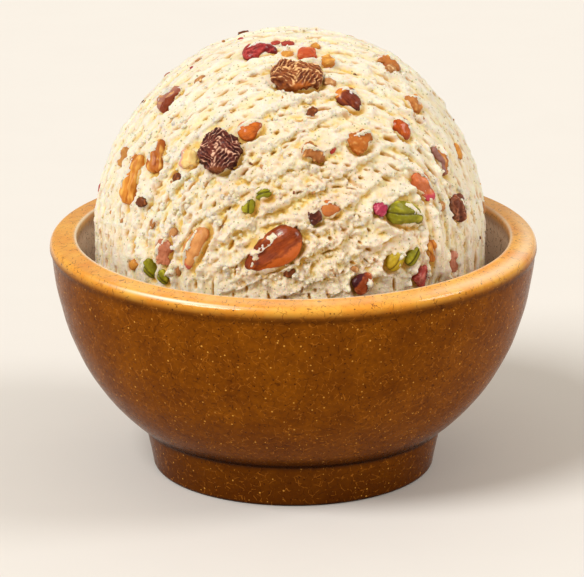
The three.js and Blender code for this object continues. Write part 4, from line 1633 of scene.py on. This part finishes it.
    def crumbly(self, spot: Array, torn: Array) -> Array:
        """Share of rounded nubs in the surface: most where it is torn, and in patches elsewhere."""
        texture = self.texture
        low_left = bell(angle_from(spot / self.radius, self.crumbly_way), 0.0, self.crumbly_spread)
        patch = self.noise.at(spot / texture.crumbly_size + texture.crumbly_start)
        share = sum(part * value for part, value in zip(texture.crumbly, (torn, low_left, patch)))
        return np.clip(share, texture.crumbly_least, 1.0)

    def nubs(self, spot: Array) -> Array:
        """Rounded nubs with creases between them, in millimetres."""
        texture = self.texture
        large = np.abs(self.other.at(spot / texture.nub_size))
        small = np.abs(self.noise.at(spot / texture.small_nub_size))
        return texture.nub * large + texture.small_nub * small - texture.nub_down

    def pores(self, spot: Array, drawn: Drawn) -> Array:
        """Small open pores, a little longer along the streaks, from 0 to 1."""
        texture = self.texture
        level = self.noise.at(self.combed(spot, drawn.across, *texture.pore_size))
        level = level + texture.pore_ragged * self.other.at(spot / texture.grain_size)
        return eased(level, *texture.pore_in)

    def along_rib(self, way: Array) -> Array:
        """The smooth upright rib at the right, which spreads into a melted foot at the bowl."""
        stops = [direction_at(*stop) * self.radius for stop in self.rib]
        spot = way * self.radius
        height = np.zeros(way.shape[:-1])
        for index, (start, end) in enumerate(zip(stops, stops[1:])):
            share = np.clip((spot - start) @ (end - start) / np.sum((end - start) ** 2), 0.0, 1.0)
            away = np.linalg.norm(spot - blend(start, end, share[..., None]), axis=-1)
            width = self.rib_width * blend(*self.rib_wider, eased(index + share, *self.rib_wider_in))
            height = np.maximum(height, bell(away, 0.0, width) * eased(index + share, *self.rib_start_in))
        return height

    def relief(self, way: Array) -> tuple[Array, Array, Array]:
        """The surface's height over the plain ball before fruit is pressed in.

        Broad ledges with the frame's own wander carry smaller ledges, lumps, nubs and fine streaks,
        and pores are pressed into them. All but the broad ledges melt away at the bowl.

        Args:
            way: unit directions from the middle.

        Returns:
            The height in millimetres, how far its crests lean over, and how deep in a pore it lies.
        """
        texture = self.texture
        spot = way * self.radius
        drawn = self.drawn(way)
        noises = (self.noise, self.other, self.noise)
        coarse, medium, fine = (noise.at(spot / size) for noise, size in zip(noises, texture.sizes))
        grain = self.other.at(spot / texture.grain_size)
        lumps = self.noise.at(self.combed(spot, drawn.across, *texture.lump_size))
        streaks = self.other.at(self.combed(spot, drawn.across, *texture.streak_size))
        rough = self.other.at(spot / texture.rough_size + texture.rough_start)
        jagged = sum(share * value for share, value in zip(texture.jags, (coarse, medium, fine)))
        broad, lean = self.main_ledges(drawn, jagged)
        crumbly = self.crumbly(spot, drawn.torn)
        small = sum(self.small_ledges(family, spot, drawn, jagged) for family in self.families)
        small *= 1.0 + texture.rough * crumbly * rough
        small += texture.lump * lumps + texture.medium * medium
        small += crumbly * self.nubs(spot)
        small += blend(*texture.grain, drawn.torn) * grain
        small += blend(*texture.streak, drawn.torn) * streaks
        pores = self.pores(spot, drawn)
        rib = self.along_rib(way)
        level = self.centre[2] + spot[..., 2] + self.melt_uneven * coarse
        firm = eased(level, self.melt_bottom, self.melt_top)
        small = (small - texture.pore * pores) * blend(self.melt_left, 1.0, firm)
        small *= 1.0 - self.rib_smooth * rib
        height = broad * (1.0 - self.rib_even * rib) + small + self.rib_height * rib
        return self.swelling(way) + height, lean * (1.0 - rib), pores * firm * (1.0 - rib)

    def slit_at(self, way: Array, half_long: float, half_wide: float, deep: float) -> Slit:
        """A slit that lies along the streaks."""
        return Slit(way, unit(np.cross(self.axis, way)), half_long, half_wide, deep)

    def slits(self) -> list[Slit]:
        """The deep slits, then many small ones by a seeded rule that keeps them clear of all others."""
        draw = np.random.default_rng(5)
        found = [
            self.slit_at(direction_at(east, rise), half_long, half_wide, self.deep_slit)
            for east, rise, half_long, half_wide in self.deep_slits
        ]
        ways = [seat.out for seat in self.seats] + [slit.out for slit in found]
        needed = [seat.half_long + 2.0 for seat in self.seats] + [slit.half_long + 1.0 for slit in found]
        for _ in range(4000):
            rise = math.degrees(math.asin(draw.uniform(-0.12, 1.0)))
            way = direction_at(draw.uniform(-180.0, 180.0), rise)
            size, slim, deep, skip = draw.uniform(size=4)
            torn = float(bell(angle_from(way, self.torn_way), 0.0, self.torn_spread))
            half_long = blend(1.1, 4.4, size**1.6) * blend(1.0, 0.55, torn)
            half_wide = blend(0.36, 0.66, slim) * blend(1.0, 0.85, torn)
            apart = np.arccos(np.clip(np.array(ways) @ way, -1.0, 1.0)) * self.radius
            if skip < 0.5 * torn or np.any(apart < np.array(needed) + half_long * 0.7 + 0.3):
                continue
            found.append(self.slit_at(way, half_long, half_wide, blend(0.5, 1.3, deep)))
            ways.append(way)
            needed.append(half_long * 0.7 + 0.9)
        return found

    def press_piece(
        self, seat: Seat, point: Array, plain: Array, height: Array
    ) -> Arrays:
        """Makes room for one piece: low under it, a lip on its upper side and a gap on its lower one.

        Args:
            seat: where the piece lies.
            point: points of the plain surface near it.
            plain: their distances from the middle.
            height: the relief there so far.

        Returns:
            The new relief, and how much painted shade falls beside the piece.
        """
        pocket = self.pocket
        out = unit(seat.middle - self.centre)
        away = point - seat.middle
        x, y = away @ seat.along / seat.half_long, away @ seat.across / seat.half_wide
        edge = (np.abs(x) ** pocket.roundness + np.abs(y) ** pocket.roundness) ** (1.0 / pocket.roundness)
        ragged = pocket.ragged * self.noise.at(point / pocket.ragged_size)
        ragged += pocket.crumbly * self.other.at(point / pocket.crumbly_size)
        far_side = unit(out * (out @ self.axis) - self.axis)
        facing = unit(x[:, None] * seat.along + y[:, None] * seat.across) @ far_side
        far, near = np.maximum(facing, 0.0), np.maximum(-facing, 0.0)
        patchy = pocket.patchy * min(seat.cover, 1.0) * self.other.at(point / pocket.patchy_size)
        bare = pocket.bare + pocket.near_bare * near + ragged + patchy - seat.cover * pocket.far_cover * far
        depth = np.linalg.norm(seat.middle - self.centre) - plain
        skin = depth + seat.half_thick * np.sqrt(1.0 - np.minimum(edge, 1.0) ** 2)
        beyond = (edge - bare) * seat.half_wide
        lip = np.minimum(skin + pocket.lip + pocket.lip_uneven * ragged, pocket.highest_lip)
        lip *= seat.cover * blend(pocket.lip_near, 1.0, far)
        reach = eased(beyond, pocket.lip_end, pocket.lip_out)
        raised = np.maximum(height, blend(height, lip, reach))
        outside = (edge - 1.0) * seat.half_wide
        raised -= pocket.gap_deep * near * bell(outside, pocket.gap_out, pocket.gap_wide)
        uneven = np.clip(pocket.rim_mean + pocket.rim_uneven * ragged, *pocket.rim_range)
        raised += pocket.rim_high * near * uneven * bell(outside, pocket.rim_out, pocket.rim_wide)
        # painted shade beside the piece, stronger on its lower side
        hollow = bell(outside, pocket.hollow_out, pocket.hollow_wide) * blend(*pocket.hollow, near)
        return np.where(edge < bare, np.minimum(raised, skin - pocket.under), raised), hollow

    def pressed(self, way: Array, height: Array, plain: Array) -> Arrays:
        """Presses all the fruit in, and gives the painted shade beside it."""
        hollow = np.zeros_like(height)
        for seat in self.seats:
            out = unit(seat.middle - self.centre)
            close = way @ out > math.cos((seat.half_long + self.pocket.beside) / self.radius)
            if not np.any(close):
                continue
            point = self.centre + way[close] * plain[close][:, None]
            height[close], beside = self.press_piece(seat, point, plain[close], height[close])
            hollow[close] = np.maximum(hollow[close], beside)
        return height, hollow

    def slit(self, way: Array, height: Array) -> Arrays:
        """Presses the slits in, and gives how deep in a slit each point lies."""
        depth_share = np.zeros_like(height)
        for slit in self.slits():
            close = way @ slit.out > math.cos((slit.half_long + 1.5) / self.radius)
            if not np.any(close):
                continue
            away = (way[close] - slit.out) * self.radius
            x = away @ slit.line / slit.half_long
            y = away @ np.cross(slit.out, slit.line) / slit.half_wide
            wavy = 0.25 * self.noise.at(way[close] * self.radius / 1.3)
            edge = np.hypot(x, y + wavy) + 0.5 * wavy
            inside = eased(edge, 1.15, 0.55)
            height[close] -= slit.deep * inside - 0.12 * bell(edge, 1.3, 0.25)
            depth_share[close] = np.maximum(depth_share[close], inside * min(1.0, 0.45 + 0.7 * slit.deep))
        return height, depth_share

    def shape(self, way: Array) -> tuple[Array, Array, Array, Array]:
        """Points of the surface in many directions.

        Args:
            way: unit directions, as a list of vectors.

        Returns:
            The points, the relief's height, the painted shade beside fruit, and the painted shade in slits
            and pores, which follows their depth, and beside fruit.
        """
        plain = self.plain_reach(way)
        height, lean, pores = self.relief(way)
        height, gaps = self.pressed(way, height, plain)
        height, slits = self.slit(way, height)
        fade = eased(self.centre[2] + plain * way[..., 2], self.fade_bottom, self.fade_top)
        toward = blend(self.axis, -self.torn_up, self.drawn(way).straight[..., None])
        toward = unit(toward - way * np.sum(toward * way, axis=-1, keepdims=True))
        points = self.centre + way * (plain + fade * height)[..., None] + toward * (fade * lean)[..., None]
        # The last two are painted shade: beside the fruit, and in the slits, the pores and beside the fruit.
        return points, height, 0.5 * gaps, np.maximum(np.maximum(slits, 0.62 * pores), 1.15 * gaps)

    def stands_out(self, way: Array, step: float) -> Array:
        """How far the relief stands above its surroundings at a step in millimetres to four sides."""
        east = unit(np.cross(UP, way))
        north = np.cross(way, east)
        sides = (east, -east, north, -north)
        around = [self.relief(unit(way + side * step / self.radius))[0] for side in sides]
        return self.relief(way)[0] - sum(around) / len(around)

    def clear_of_fruit(self, way: Array, room: float) -> Array:
        """Whether each direction keeps a distance in millimetres to every piece of fruit."""
        clear = np.ones(len(way), bool)
        for seat in self.seats:
            clear &= angle_from(way, seat.out) > math.degrees((seat.half_long * 0.8 + room) / self.radius)
        return clear

    def grid(self) -> Arrays:
        """Angles of the rings and columns: close where the viewer looks, wide where the bowl hides."""
        stretches = (
            (0.0, self.near_end, self.near_rings),
            (self.near_end, self.far_end, self.far_rings),
            (self.far_end, 180.0, self.back_rings),
        )
        polar = np.concatenate([np.linspace(*stretch, endpoint=False) for stretch in stretches])[1:]
        opened = np.linspace(-self.open_half, self.open_half, self.open_columns, endpoint=False)
        hidden = np.linspace(self.open_half, 360.0 - self.open_half, self.hidden_columns, endpoint=False)
        return np.radians(polar), np.radians(np.concatenate([opened, hidden]))

    def surface(self) -> Surface:
        """The whole ball as rings round the streaks' axis, with the marks hollow, pit and torn."""
        upright, sideways = self.streak_frame()
        polar, turn = self.grid()
        ring = np.cos(turn)[:, None] * upright + np.sin(turn)[:, None] * sideways
        ways = np.cos(polar)[:, None, None] * self.axis + np.sin(polar)[:, None, None] * ring
        flat = np.concatenate([ways.reshape(-1, 3), [self.axis, -self.axis]])
        points, height, gaps, slits = self.shape(flat)
        size = (len(polar), len(turn))
        rings = points[:-2].reshape(*size, 3)
        field_height = height[:-2].reshape(size)
        low = softened(field_height, 9, 6) - field_height
        # painted shade where the relief lies below its surroundings and beside the fruit
        hollow = 0.35 + low * 0.6 + gaps[:-2].reshape(size)
        marks = {
            "hollow": np.clip(hollow, 0.0, 1.2),
            "pit": np.clip(slits[:-2].reshape(size), 0.0, 1.0),
            "torn": bell(angle_from(ways, self.torn_way), 0.0, self.torn_spread),
        }
        return Surface.from_rings(rings, points[-2], points[-1], marks)

    def build(self, finish: Material) -> None:
        """Adds the ice cream."""
        add_piece("vanilla_ball", self.surface(), finish, "ice_cream", "ice_cream")


def softened(values: Array, rows: int, columns: int) -> Array:
    """Mean over a window of rows and columns on each side; the rows end, and the columns go round."""
    padded = np.pad(values, ((rows, rows), (0, 0)), mode="edge")
    padded = np.pad(padded, ((0, 0), (columns, columns)), mode="wrap")
    for axis, reach in ((0, rows), (1, columns)):
        total = np.cumsum(padded, axis=axis)
        total = np.insert(total, 0, 0.0, axis=axis)
        width = 2 * reach + 1
        length = padded.shape[axis] - width + 1
        first = np.take(total, np.arange(length), axis=axis)
        last = np.take(total, np.arange(length) + width, axis=axis)
        padded = (last - first) / width
    return padded


@dataclass(frozen=True)
class Nubs:
    """Small nubs of ice cream left standing on the crests where the scoop tore it, as one mesh."""

    tries: int = 16000
    most: int = 2700
    rings: int = 5
    columns: int = 7
    smallest: float = 0.4
    largest: float = 1.0
    spread: float = 70.0
    step: float = 1.4
    seed: int = 31

    def ways(self, cream: IceCream) -> Array:
        """Directions of the nubs: crests round the torn part, clear of the fruit."""
        draw = np.random.default_rng(self.seed)
        ways = unit(draw.normal(size=(self.tries, 3)))
        chance = draw.uniform(size=self.tries)
        torn = bell(angle_from(ways, cream.torn_way), 0.0, cream.torn_spread * 1.3)
        crumbly = np.maximum(torn, cream.crumbly(ways * cream.radius, torn))
        near = (angle_from(ways, cream.torn_way) < self.spread) & (ways[:, 2] > -0.03)
        near &= cream.clear_of_fruit(ways, self.largest) & (chance < 0.06 + 0.9 * crumbly)
        ways = ways[near]
        crest = cream.stands_out(ways, self.step)
        return ways[crest > 0.2][: self.most]

    def surface(self, cream: IceCream) -> Surface:
        """Every nub as a small ball with uneven half sizes and a rough skin, half sunk."""
        ways = self.ways(cream)
        draw = np.random.default_rng(self.seed + 1)
        count = len(ways)
        size = blend(self.smallest, self.largest, draw.uniform(size=count) ** 2.0)
        halves = size[:, None] * draw.uniform(0.75, 1.3, size=(count, 3))
        middle = cream.shape(ways)[0] - ways * (0.35 * size)[:, None]
        local = ball_rings(*ball_grid(self.rings, self.columns), 1.0)
        along = unit(np.cross(ways, draw.normal(size=(count, 3))))
        basis = np.stack([along, ways, np.cross(along, ways)], axis=1)
        points = np.einsum("rcx,nx,nxy->nrcy", local, halves, basis) + middle[:, None, None]
        rough = 1.0 + 0.35 * cream.noise.at(points / 0.8)
        points = middle[:, None, None] + (points - middle[:, None, None]) * rough[..., None]
        # painted shade where a nub's rough skin dips
        hollow = np.clip(0.3 - 0.25 * (rough - 1.0), 0.0, 1.0)
        torn = bell(angle_from(ways, cream.torn_way), 0.0, cream.torn_spread)
        torn = np.broadcast_to(torn[:, None, None], hollow.shape)
        return Surface.copies(points, {"hollow": hollow, "pit": np.zeros_like(hollow), "torn": torn})

    def build(self, cream: IceCream, finish: Material) -> None:
        """Adds the nubs."""
        add_piece("vanilla_nubs", self.surface(cream), finish, "ice_cream")


# ---- Chopped bits and crumbs ---------------------------------------------------------------------


@dataclass(frozen=True)
class Bit:
    """A chopped bit: its kind, where it lies, its size in millimetres and its turn in degrees."""

    kind: str
    east: float
    rise: float
    long: float
    wide: float
    turn: float


FRONT_BITS = [
    Bit("cranberry", -32, 82, 3.2, 2.4, 70), Bit("cranberry", -4, 81, 4, 2.4, 15),
    Bit("apricot", -3, 75.5, 4, 3.4, 0), Bit("apricot", 31, 69, 4.4, 3.8, -76),
    Bit("apricot", 38, 78, 2.8, 2.6, -20), Bit("nut", 24, 60.5, 3.8, 3, -40),
    Bit("raisin", 10, 50.5, 3.8, 2.8, 44), Bit("cranberry", 15.5, 38, 3.2, 2.1, 53),
    Bit("nut", 68, 58, 3, 3, 0), Bit("nut", 52, 15.5, 3, 2.4, 80),
    Bit("apricot", 74, 27, 5.2, 2.6, -110), Bit("nut", 19, 2.5, 2.6, 1.8, -25),
    Bit("raisin", 0, 2.2, 3.6, 2.8, 0), Bit("nut", -36, 11, 3, 2.4, 60),
    Bit("nut", -45, 12, 3, 1.8, 87), Bit("apricot", -52, -2, 3.6, 3, 50),
    Bit("nut", -34.5, 0, 3.6, 2, 100), Bit("raisin", -39, 26.5, 3.4, 3, 38),
    Bit("raisin", -50.5, 17, 3.6, 3, 20), Bit("nut", -60, 58, 4, 2, 80),
]
BIT_KINDS = ("nut", "apricot", "raisin", "cranberry")


class Draws:
    """The repeatable random numbers from 0 to 1 that placed the bits of the frame's back."""

    SEED = 7
    WORD = 0xFFFFFFFF
    STEP = 0x6D2B79F5
    MULTIPLIER = 61
    SHIFTS = (15, 7, 14)

    def __init__(self) -> None:
        """Starts from the seed."""
        self.state = self.SEED

    def product(self, first: int, second: int) -> int:
        """Product of two whole numbers, kept to 32 bits."""
        return (first * second) & self.WORD

    def next(self) -> float:
        """The next number."""
        first, second, third = self.SHIFTS
        self.state = (self.state + self.STEP) & self.WORD
        mixed = self.product(self.state ^ (self.state >> first), 1 | self.state)
        added = self.product(mixed ^ (mixed >> second), self.MULTIPLIER | mixed)
        mixed = ((mixed + added) & self.WORD) ^ mixed
        return (mixed ^ (mixed >> third)) / (self.WORD + 1)

    def between(self, low: float, high: float) -> float:
        """The next number, spread over a range."""
        return blend(low, high, self.next())


def back_bits(cream: IceCream, count: int = 14, clearance: float = 1.15) -> list[Bit]:
    """The chopped bits of the sides and back, where the frame's own rule put them.

    Args:
        cream: the ball of ice cream with the seats of its fruit.
        count: how many bits.
        clearance: least gap between pieces in millimetres.

    Returns:
        The bits, one kind after another.
    """
    draws = Draws()
    taken = [(seat.out, seat.half_long) for seat in cream.seats]
    bits: list[Bit] = []
    while len(bits) < count:
        east, rise = draws.between(82.0, 284.0), draws.between(2.0, 74.0)
        long, wide = draws.between(2.6, 4.2), draws.between(1.8, 3.0)
        turn = draws.between(0.0, 180.0)
        out = direction_at(east, rise)
        arcs = [math.acos(min(1.0, float(out @ way))) * cream.radius for way, _ in taken]
        gaps = [arc - half - long / 2.0 for arc, (_, half) in zip(arcs, taken)]
        if min(gaps) > clearance:
            bits.append(Bit(BIT_KINDS[len(bits) % len(BIT_KINDS)], east, rise, long, wide, turn))
            taken.append((out, long / 2.0))
    return bits


def loose_crumbs(cream: IceCream, count: int = 64, room: float = 2.5, seed: int = 17) -> list[Bit]:
    """Small crumbs of fruit and nut all over the ball, with room round the fruit, by a seeded rule."""
    draw = np.random.default_rng(seed)
    crumbs: list[Bit] = []
    while len(crumbs) < count:
        east, rise = draw.uniform(-180.0, 180.0), math.degrees(math.asin(draw.uniform(0.0, 0.98)))
        long, turn = draw.uniform(0.7, 1.9), draw.uniform(0.0, 180.0)
        kind = BIT_KINDS[int(len(BIT_KINDS) * draw.uniform() ** 2.0)]
        if cream.clear_of_fruit(direction_at(east, rise)[None], room)[0]:
            crumbs.append(Bit(kind, east, rise, long, long * draw.uniform(0.5, 0.85), turn))
    return crumbs


@dataclass(frozen=True)
class Chopped:
    """All the chopped bits and crumbs of one kind, as one mesh.

    chip_size and dust_size are the sizes of their broken faces in millimetres, and apart how far
    apart in the noise two bits lie.
    """

    kind: str
    skin: Skin
    rings: int = 12
    columns: int = 16
    square: float = 0.74
    thick: float = 0.8
    rough: float = 0.2
    chip_size: float = 1.1
    dust_size: float = 0.45
    dust: float = 0.4
    apart: float = 7.3
    sunk: float = 0.12
    seed: int = 3

    def surface(self, cream: IceCream, bits: list[Bit]) -> Surface:
        """Every bit as a squared ball with chipped faces, on the ice cream where it stands.

        Args:
            cream: the ball of ice cream.
            bits: the bits of this kind.

        Returns:
            The surface with the marks skin, share and crest.
        """
        ways = np.array([direction_at(bit.east, bit.rise) for bit in bits])
        halves = np.array([[bit.long, bit.wide, bit.wide * self.thick] for bit in bits]) / 2.0
        turn = np.radians([bit.turn for bit in bits])[:, None]
        east = unit(np.cross(UP, ways))
        along = east * np.cos(turn) + np.cross(ways, east) * np.sin(turn)
        basis = np.stack([along, np.cross(ways, along), ways], axis=1)
        middle = cream.shape(ways)[0] - ways * (self.sunk * halves[:, 2:])
        share = ball_rings(*ball_grid(self.rings, self.columns), self.square)
        local = share * halves[:, None, None]
        apart = np.arange(len(bits))[:, None, None, None] * self.apart
        noise = Noise(self.seed)
        chips = np.abs(noise.at(local / self.chip_size + apart)) * 2.0 - 0.5
        chips = chips + self.dust * noise.at(local / self.dust_size + apart)
        grown = local * (1.0 + self.rough * chips)[..., None]
        points = np.einsum("nrcx,nxy->nrcy", grown, basis) + middle[:, None, None]
        marks = {
            "skin": (local + apart) * MM,
            "share": np.broadcast_to(share, local.shape),
            "crest": np.clip(0.5 + 0.5 * chips, 0.0, 1.0),
        }
        return Surface.copies(points, marks)

    def build(self, cream: IceCream, bits: list[Bit], effects: Effects) -> None:
        """Adds the bits of this kind."""
        chosen = [bit for bit in bits if bit.kind == self.kind]
        name = "chopped_" + self.kind
        add_piece(name, self.surface(cream, chosen), self.skin.build(name, effects), self.kind)


def chopped(kind: str, **changes: Any) -> Chopped:
    """The bits of a kind, with the skin of that kind but for what differs."""
    return Chopped(kind, replace(SKINS[kind], **changes))


CHOPPED = [
    chopped("nut", deep=(150, 92, 46), body=(206, 150, 96), bright=(238, 200, 146)),
    chopped("apricot", deep=(178, 104, 30), body=(226, 160, 72), stretch=2.0),
    chopped("raisin", deep=(72, 30, 12), body=(128, 66, 30), bright=(176, 104, 56)),
    chopped("cranberry", deep=(140, 40, 30), body=(186, 70, 52)),
]


# ---- Studio --------------------------------------------------------------------------------------


@dataclass(frozen=True)
class Lamp:
    """A far, soft light: where it stands round the object, how high, how wide it looks and how strong.

    east and rise are the angles in degrees towards it, and width is its own angle across.
    """

    name: str
    east: float
    rise: float
    width: float
    strength: float
    colour: Light

    def build(self) -> None:
        """Adds the light."""
        light = bpy.data.lights.new(self.name, "SUN")
        light.angle = math.radians(self.width)
        light.energy = self.strength
        light.color = self.colour
        lamp = bpy.data.objects.new(self.name, light)
        bpy.context.scene.collection.objects.link(lamp)
        lamp.rotation_euler = (math.radians(90.0 - self.rise), 0.0, math.radians(self.east))


@dataclass(frozen=True)
class Studio:
    """Floor, sky, camera and lights: a key from the upper left front and a weak fill from the right.

    Sizes are in metres and angles in degrees, but lens and sensor are in millimetres.
    """

    floor_half: float = 4.0
    camera_distance: float = 1.5
    camera_rise: float = 18.0
    target_height: float = 0.045
    lens: float = 298.4
    sensor: float = 36.0
    shift: Pair = (-0.0022, 0.0570)
    sky: Light = (1.0, 0.89, 0.73)
    sky_strength: float = 0.52
    lamps: tuple[Lamp, ...] = (
        Lamp("key", -48.0, 48.0, 24.0, 2.2, (1.0, 0.985, 0.945)),
        Lamp("fill", 84.0, 36.0, 22.0, 1.05, (1.0, 0.965, 0.92)),
    )

    def build_floor(self, effects: Effects) -> None:
        """Adds the floor as one flat sheet under the foot."""
        half = self.floor_half
        mesh = bpy.data.meshes.new("floor")
        corners = [(-half, -half, 0.0), (half, -half, 0.0), (half, half, 0.0), (-half, half, 0.0)]
        mesh.from_pydata(corners, [], [(0, 1, 2, 3)])
        mesh.materials.append(FloorPaint().build(effects))
        floor = bpy.data.objects.new("floor", mesh)
        bpy.context.scene.collection.objects.link(floor)

    def build_camera(self) -> None:
        """Adds the camera at the photograph's angle, and makes it the scene's own."""
        rise = math.radians(self.camera_rise)
        data = bpy.data.cameras.new("camera")
        data.sensor_width = self.sensor
        data.lens = self.lens
        data.shift_x, data.shift_y = self.shift
        camera = bpy.data.objects.new("camera", data)
        bpy.context.scene.collection.objects.link(camera)
        back, lift = self.camera_distance * math.cos(rise), self.camera_distance * math.sin(rise)
        camera.location = (0.0, -back, self.target_height + lift)
        camera.rotation_euler = (math.pi / 2.0 - rise, 0.0, 0.0)
        bpy.context.scene.camera = camera

    def build_sky(self) -> None:
        """Sets the even light all round, and plain colour management."""
        world = bpy.data.worlds.new("studio")
        world.use_nodes = True
        backdrop = world.node_tree.nodes["Background"]
        backdrop.inputs["Color"].default_value = (*self.sky, 1.0)
        backdrop.inputs["Strength"].default_value = self.sky_strength
        scene = bpy.context.scene
        scene.world = world
        scene.view_settings.view_transform = "Standard"
        scene.view_settings.look = "None"
        scene.view_settings.exposure = 0.0

    def build(self, effects: Effects) -> None:
        """Adds everything round the object."""
        self.build_floor(effects)
        self.build_sky()
        self.build_camera()
        for lamp in self.lamps:
            lamp.build()


def main() -> None:
    """Builds the bowl, the fruit, the ice cream and the studio."""
    logging.basicConfig(level=logging.INFO, format="%(message)s")
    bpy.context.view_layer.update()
    effects = Effects()
    bowl = Bowl()
    bowl.build(effects)
    morsels = FRONT + back_morsels()
    seats = [Seat.of_node(one.node, one.form(), BALL_CENTRE) for one in morsels]
    for morsel, seat in zip(morsels, seats):
        morsel.build(seat, effects)
    cream = IceCream(bowl, seats, BALL_CENTRE)
    vanilla = Cream().build(effects)
    cream.build(vanilla)
    Nubs().build(cream, vanilla)
    bits = FRONT_BITS + back_bits(cream) + loose_crumbs(cream)
    for chopped in CHOPPED:
        chopped.build(cream, bits, effects)
    Studio().build(effects)


if __name__ == "__main__":
    main()
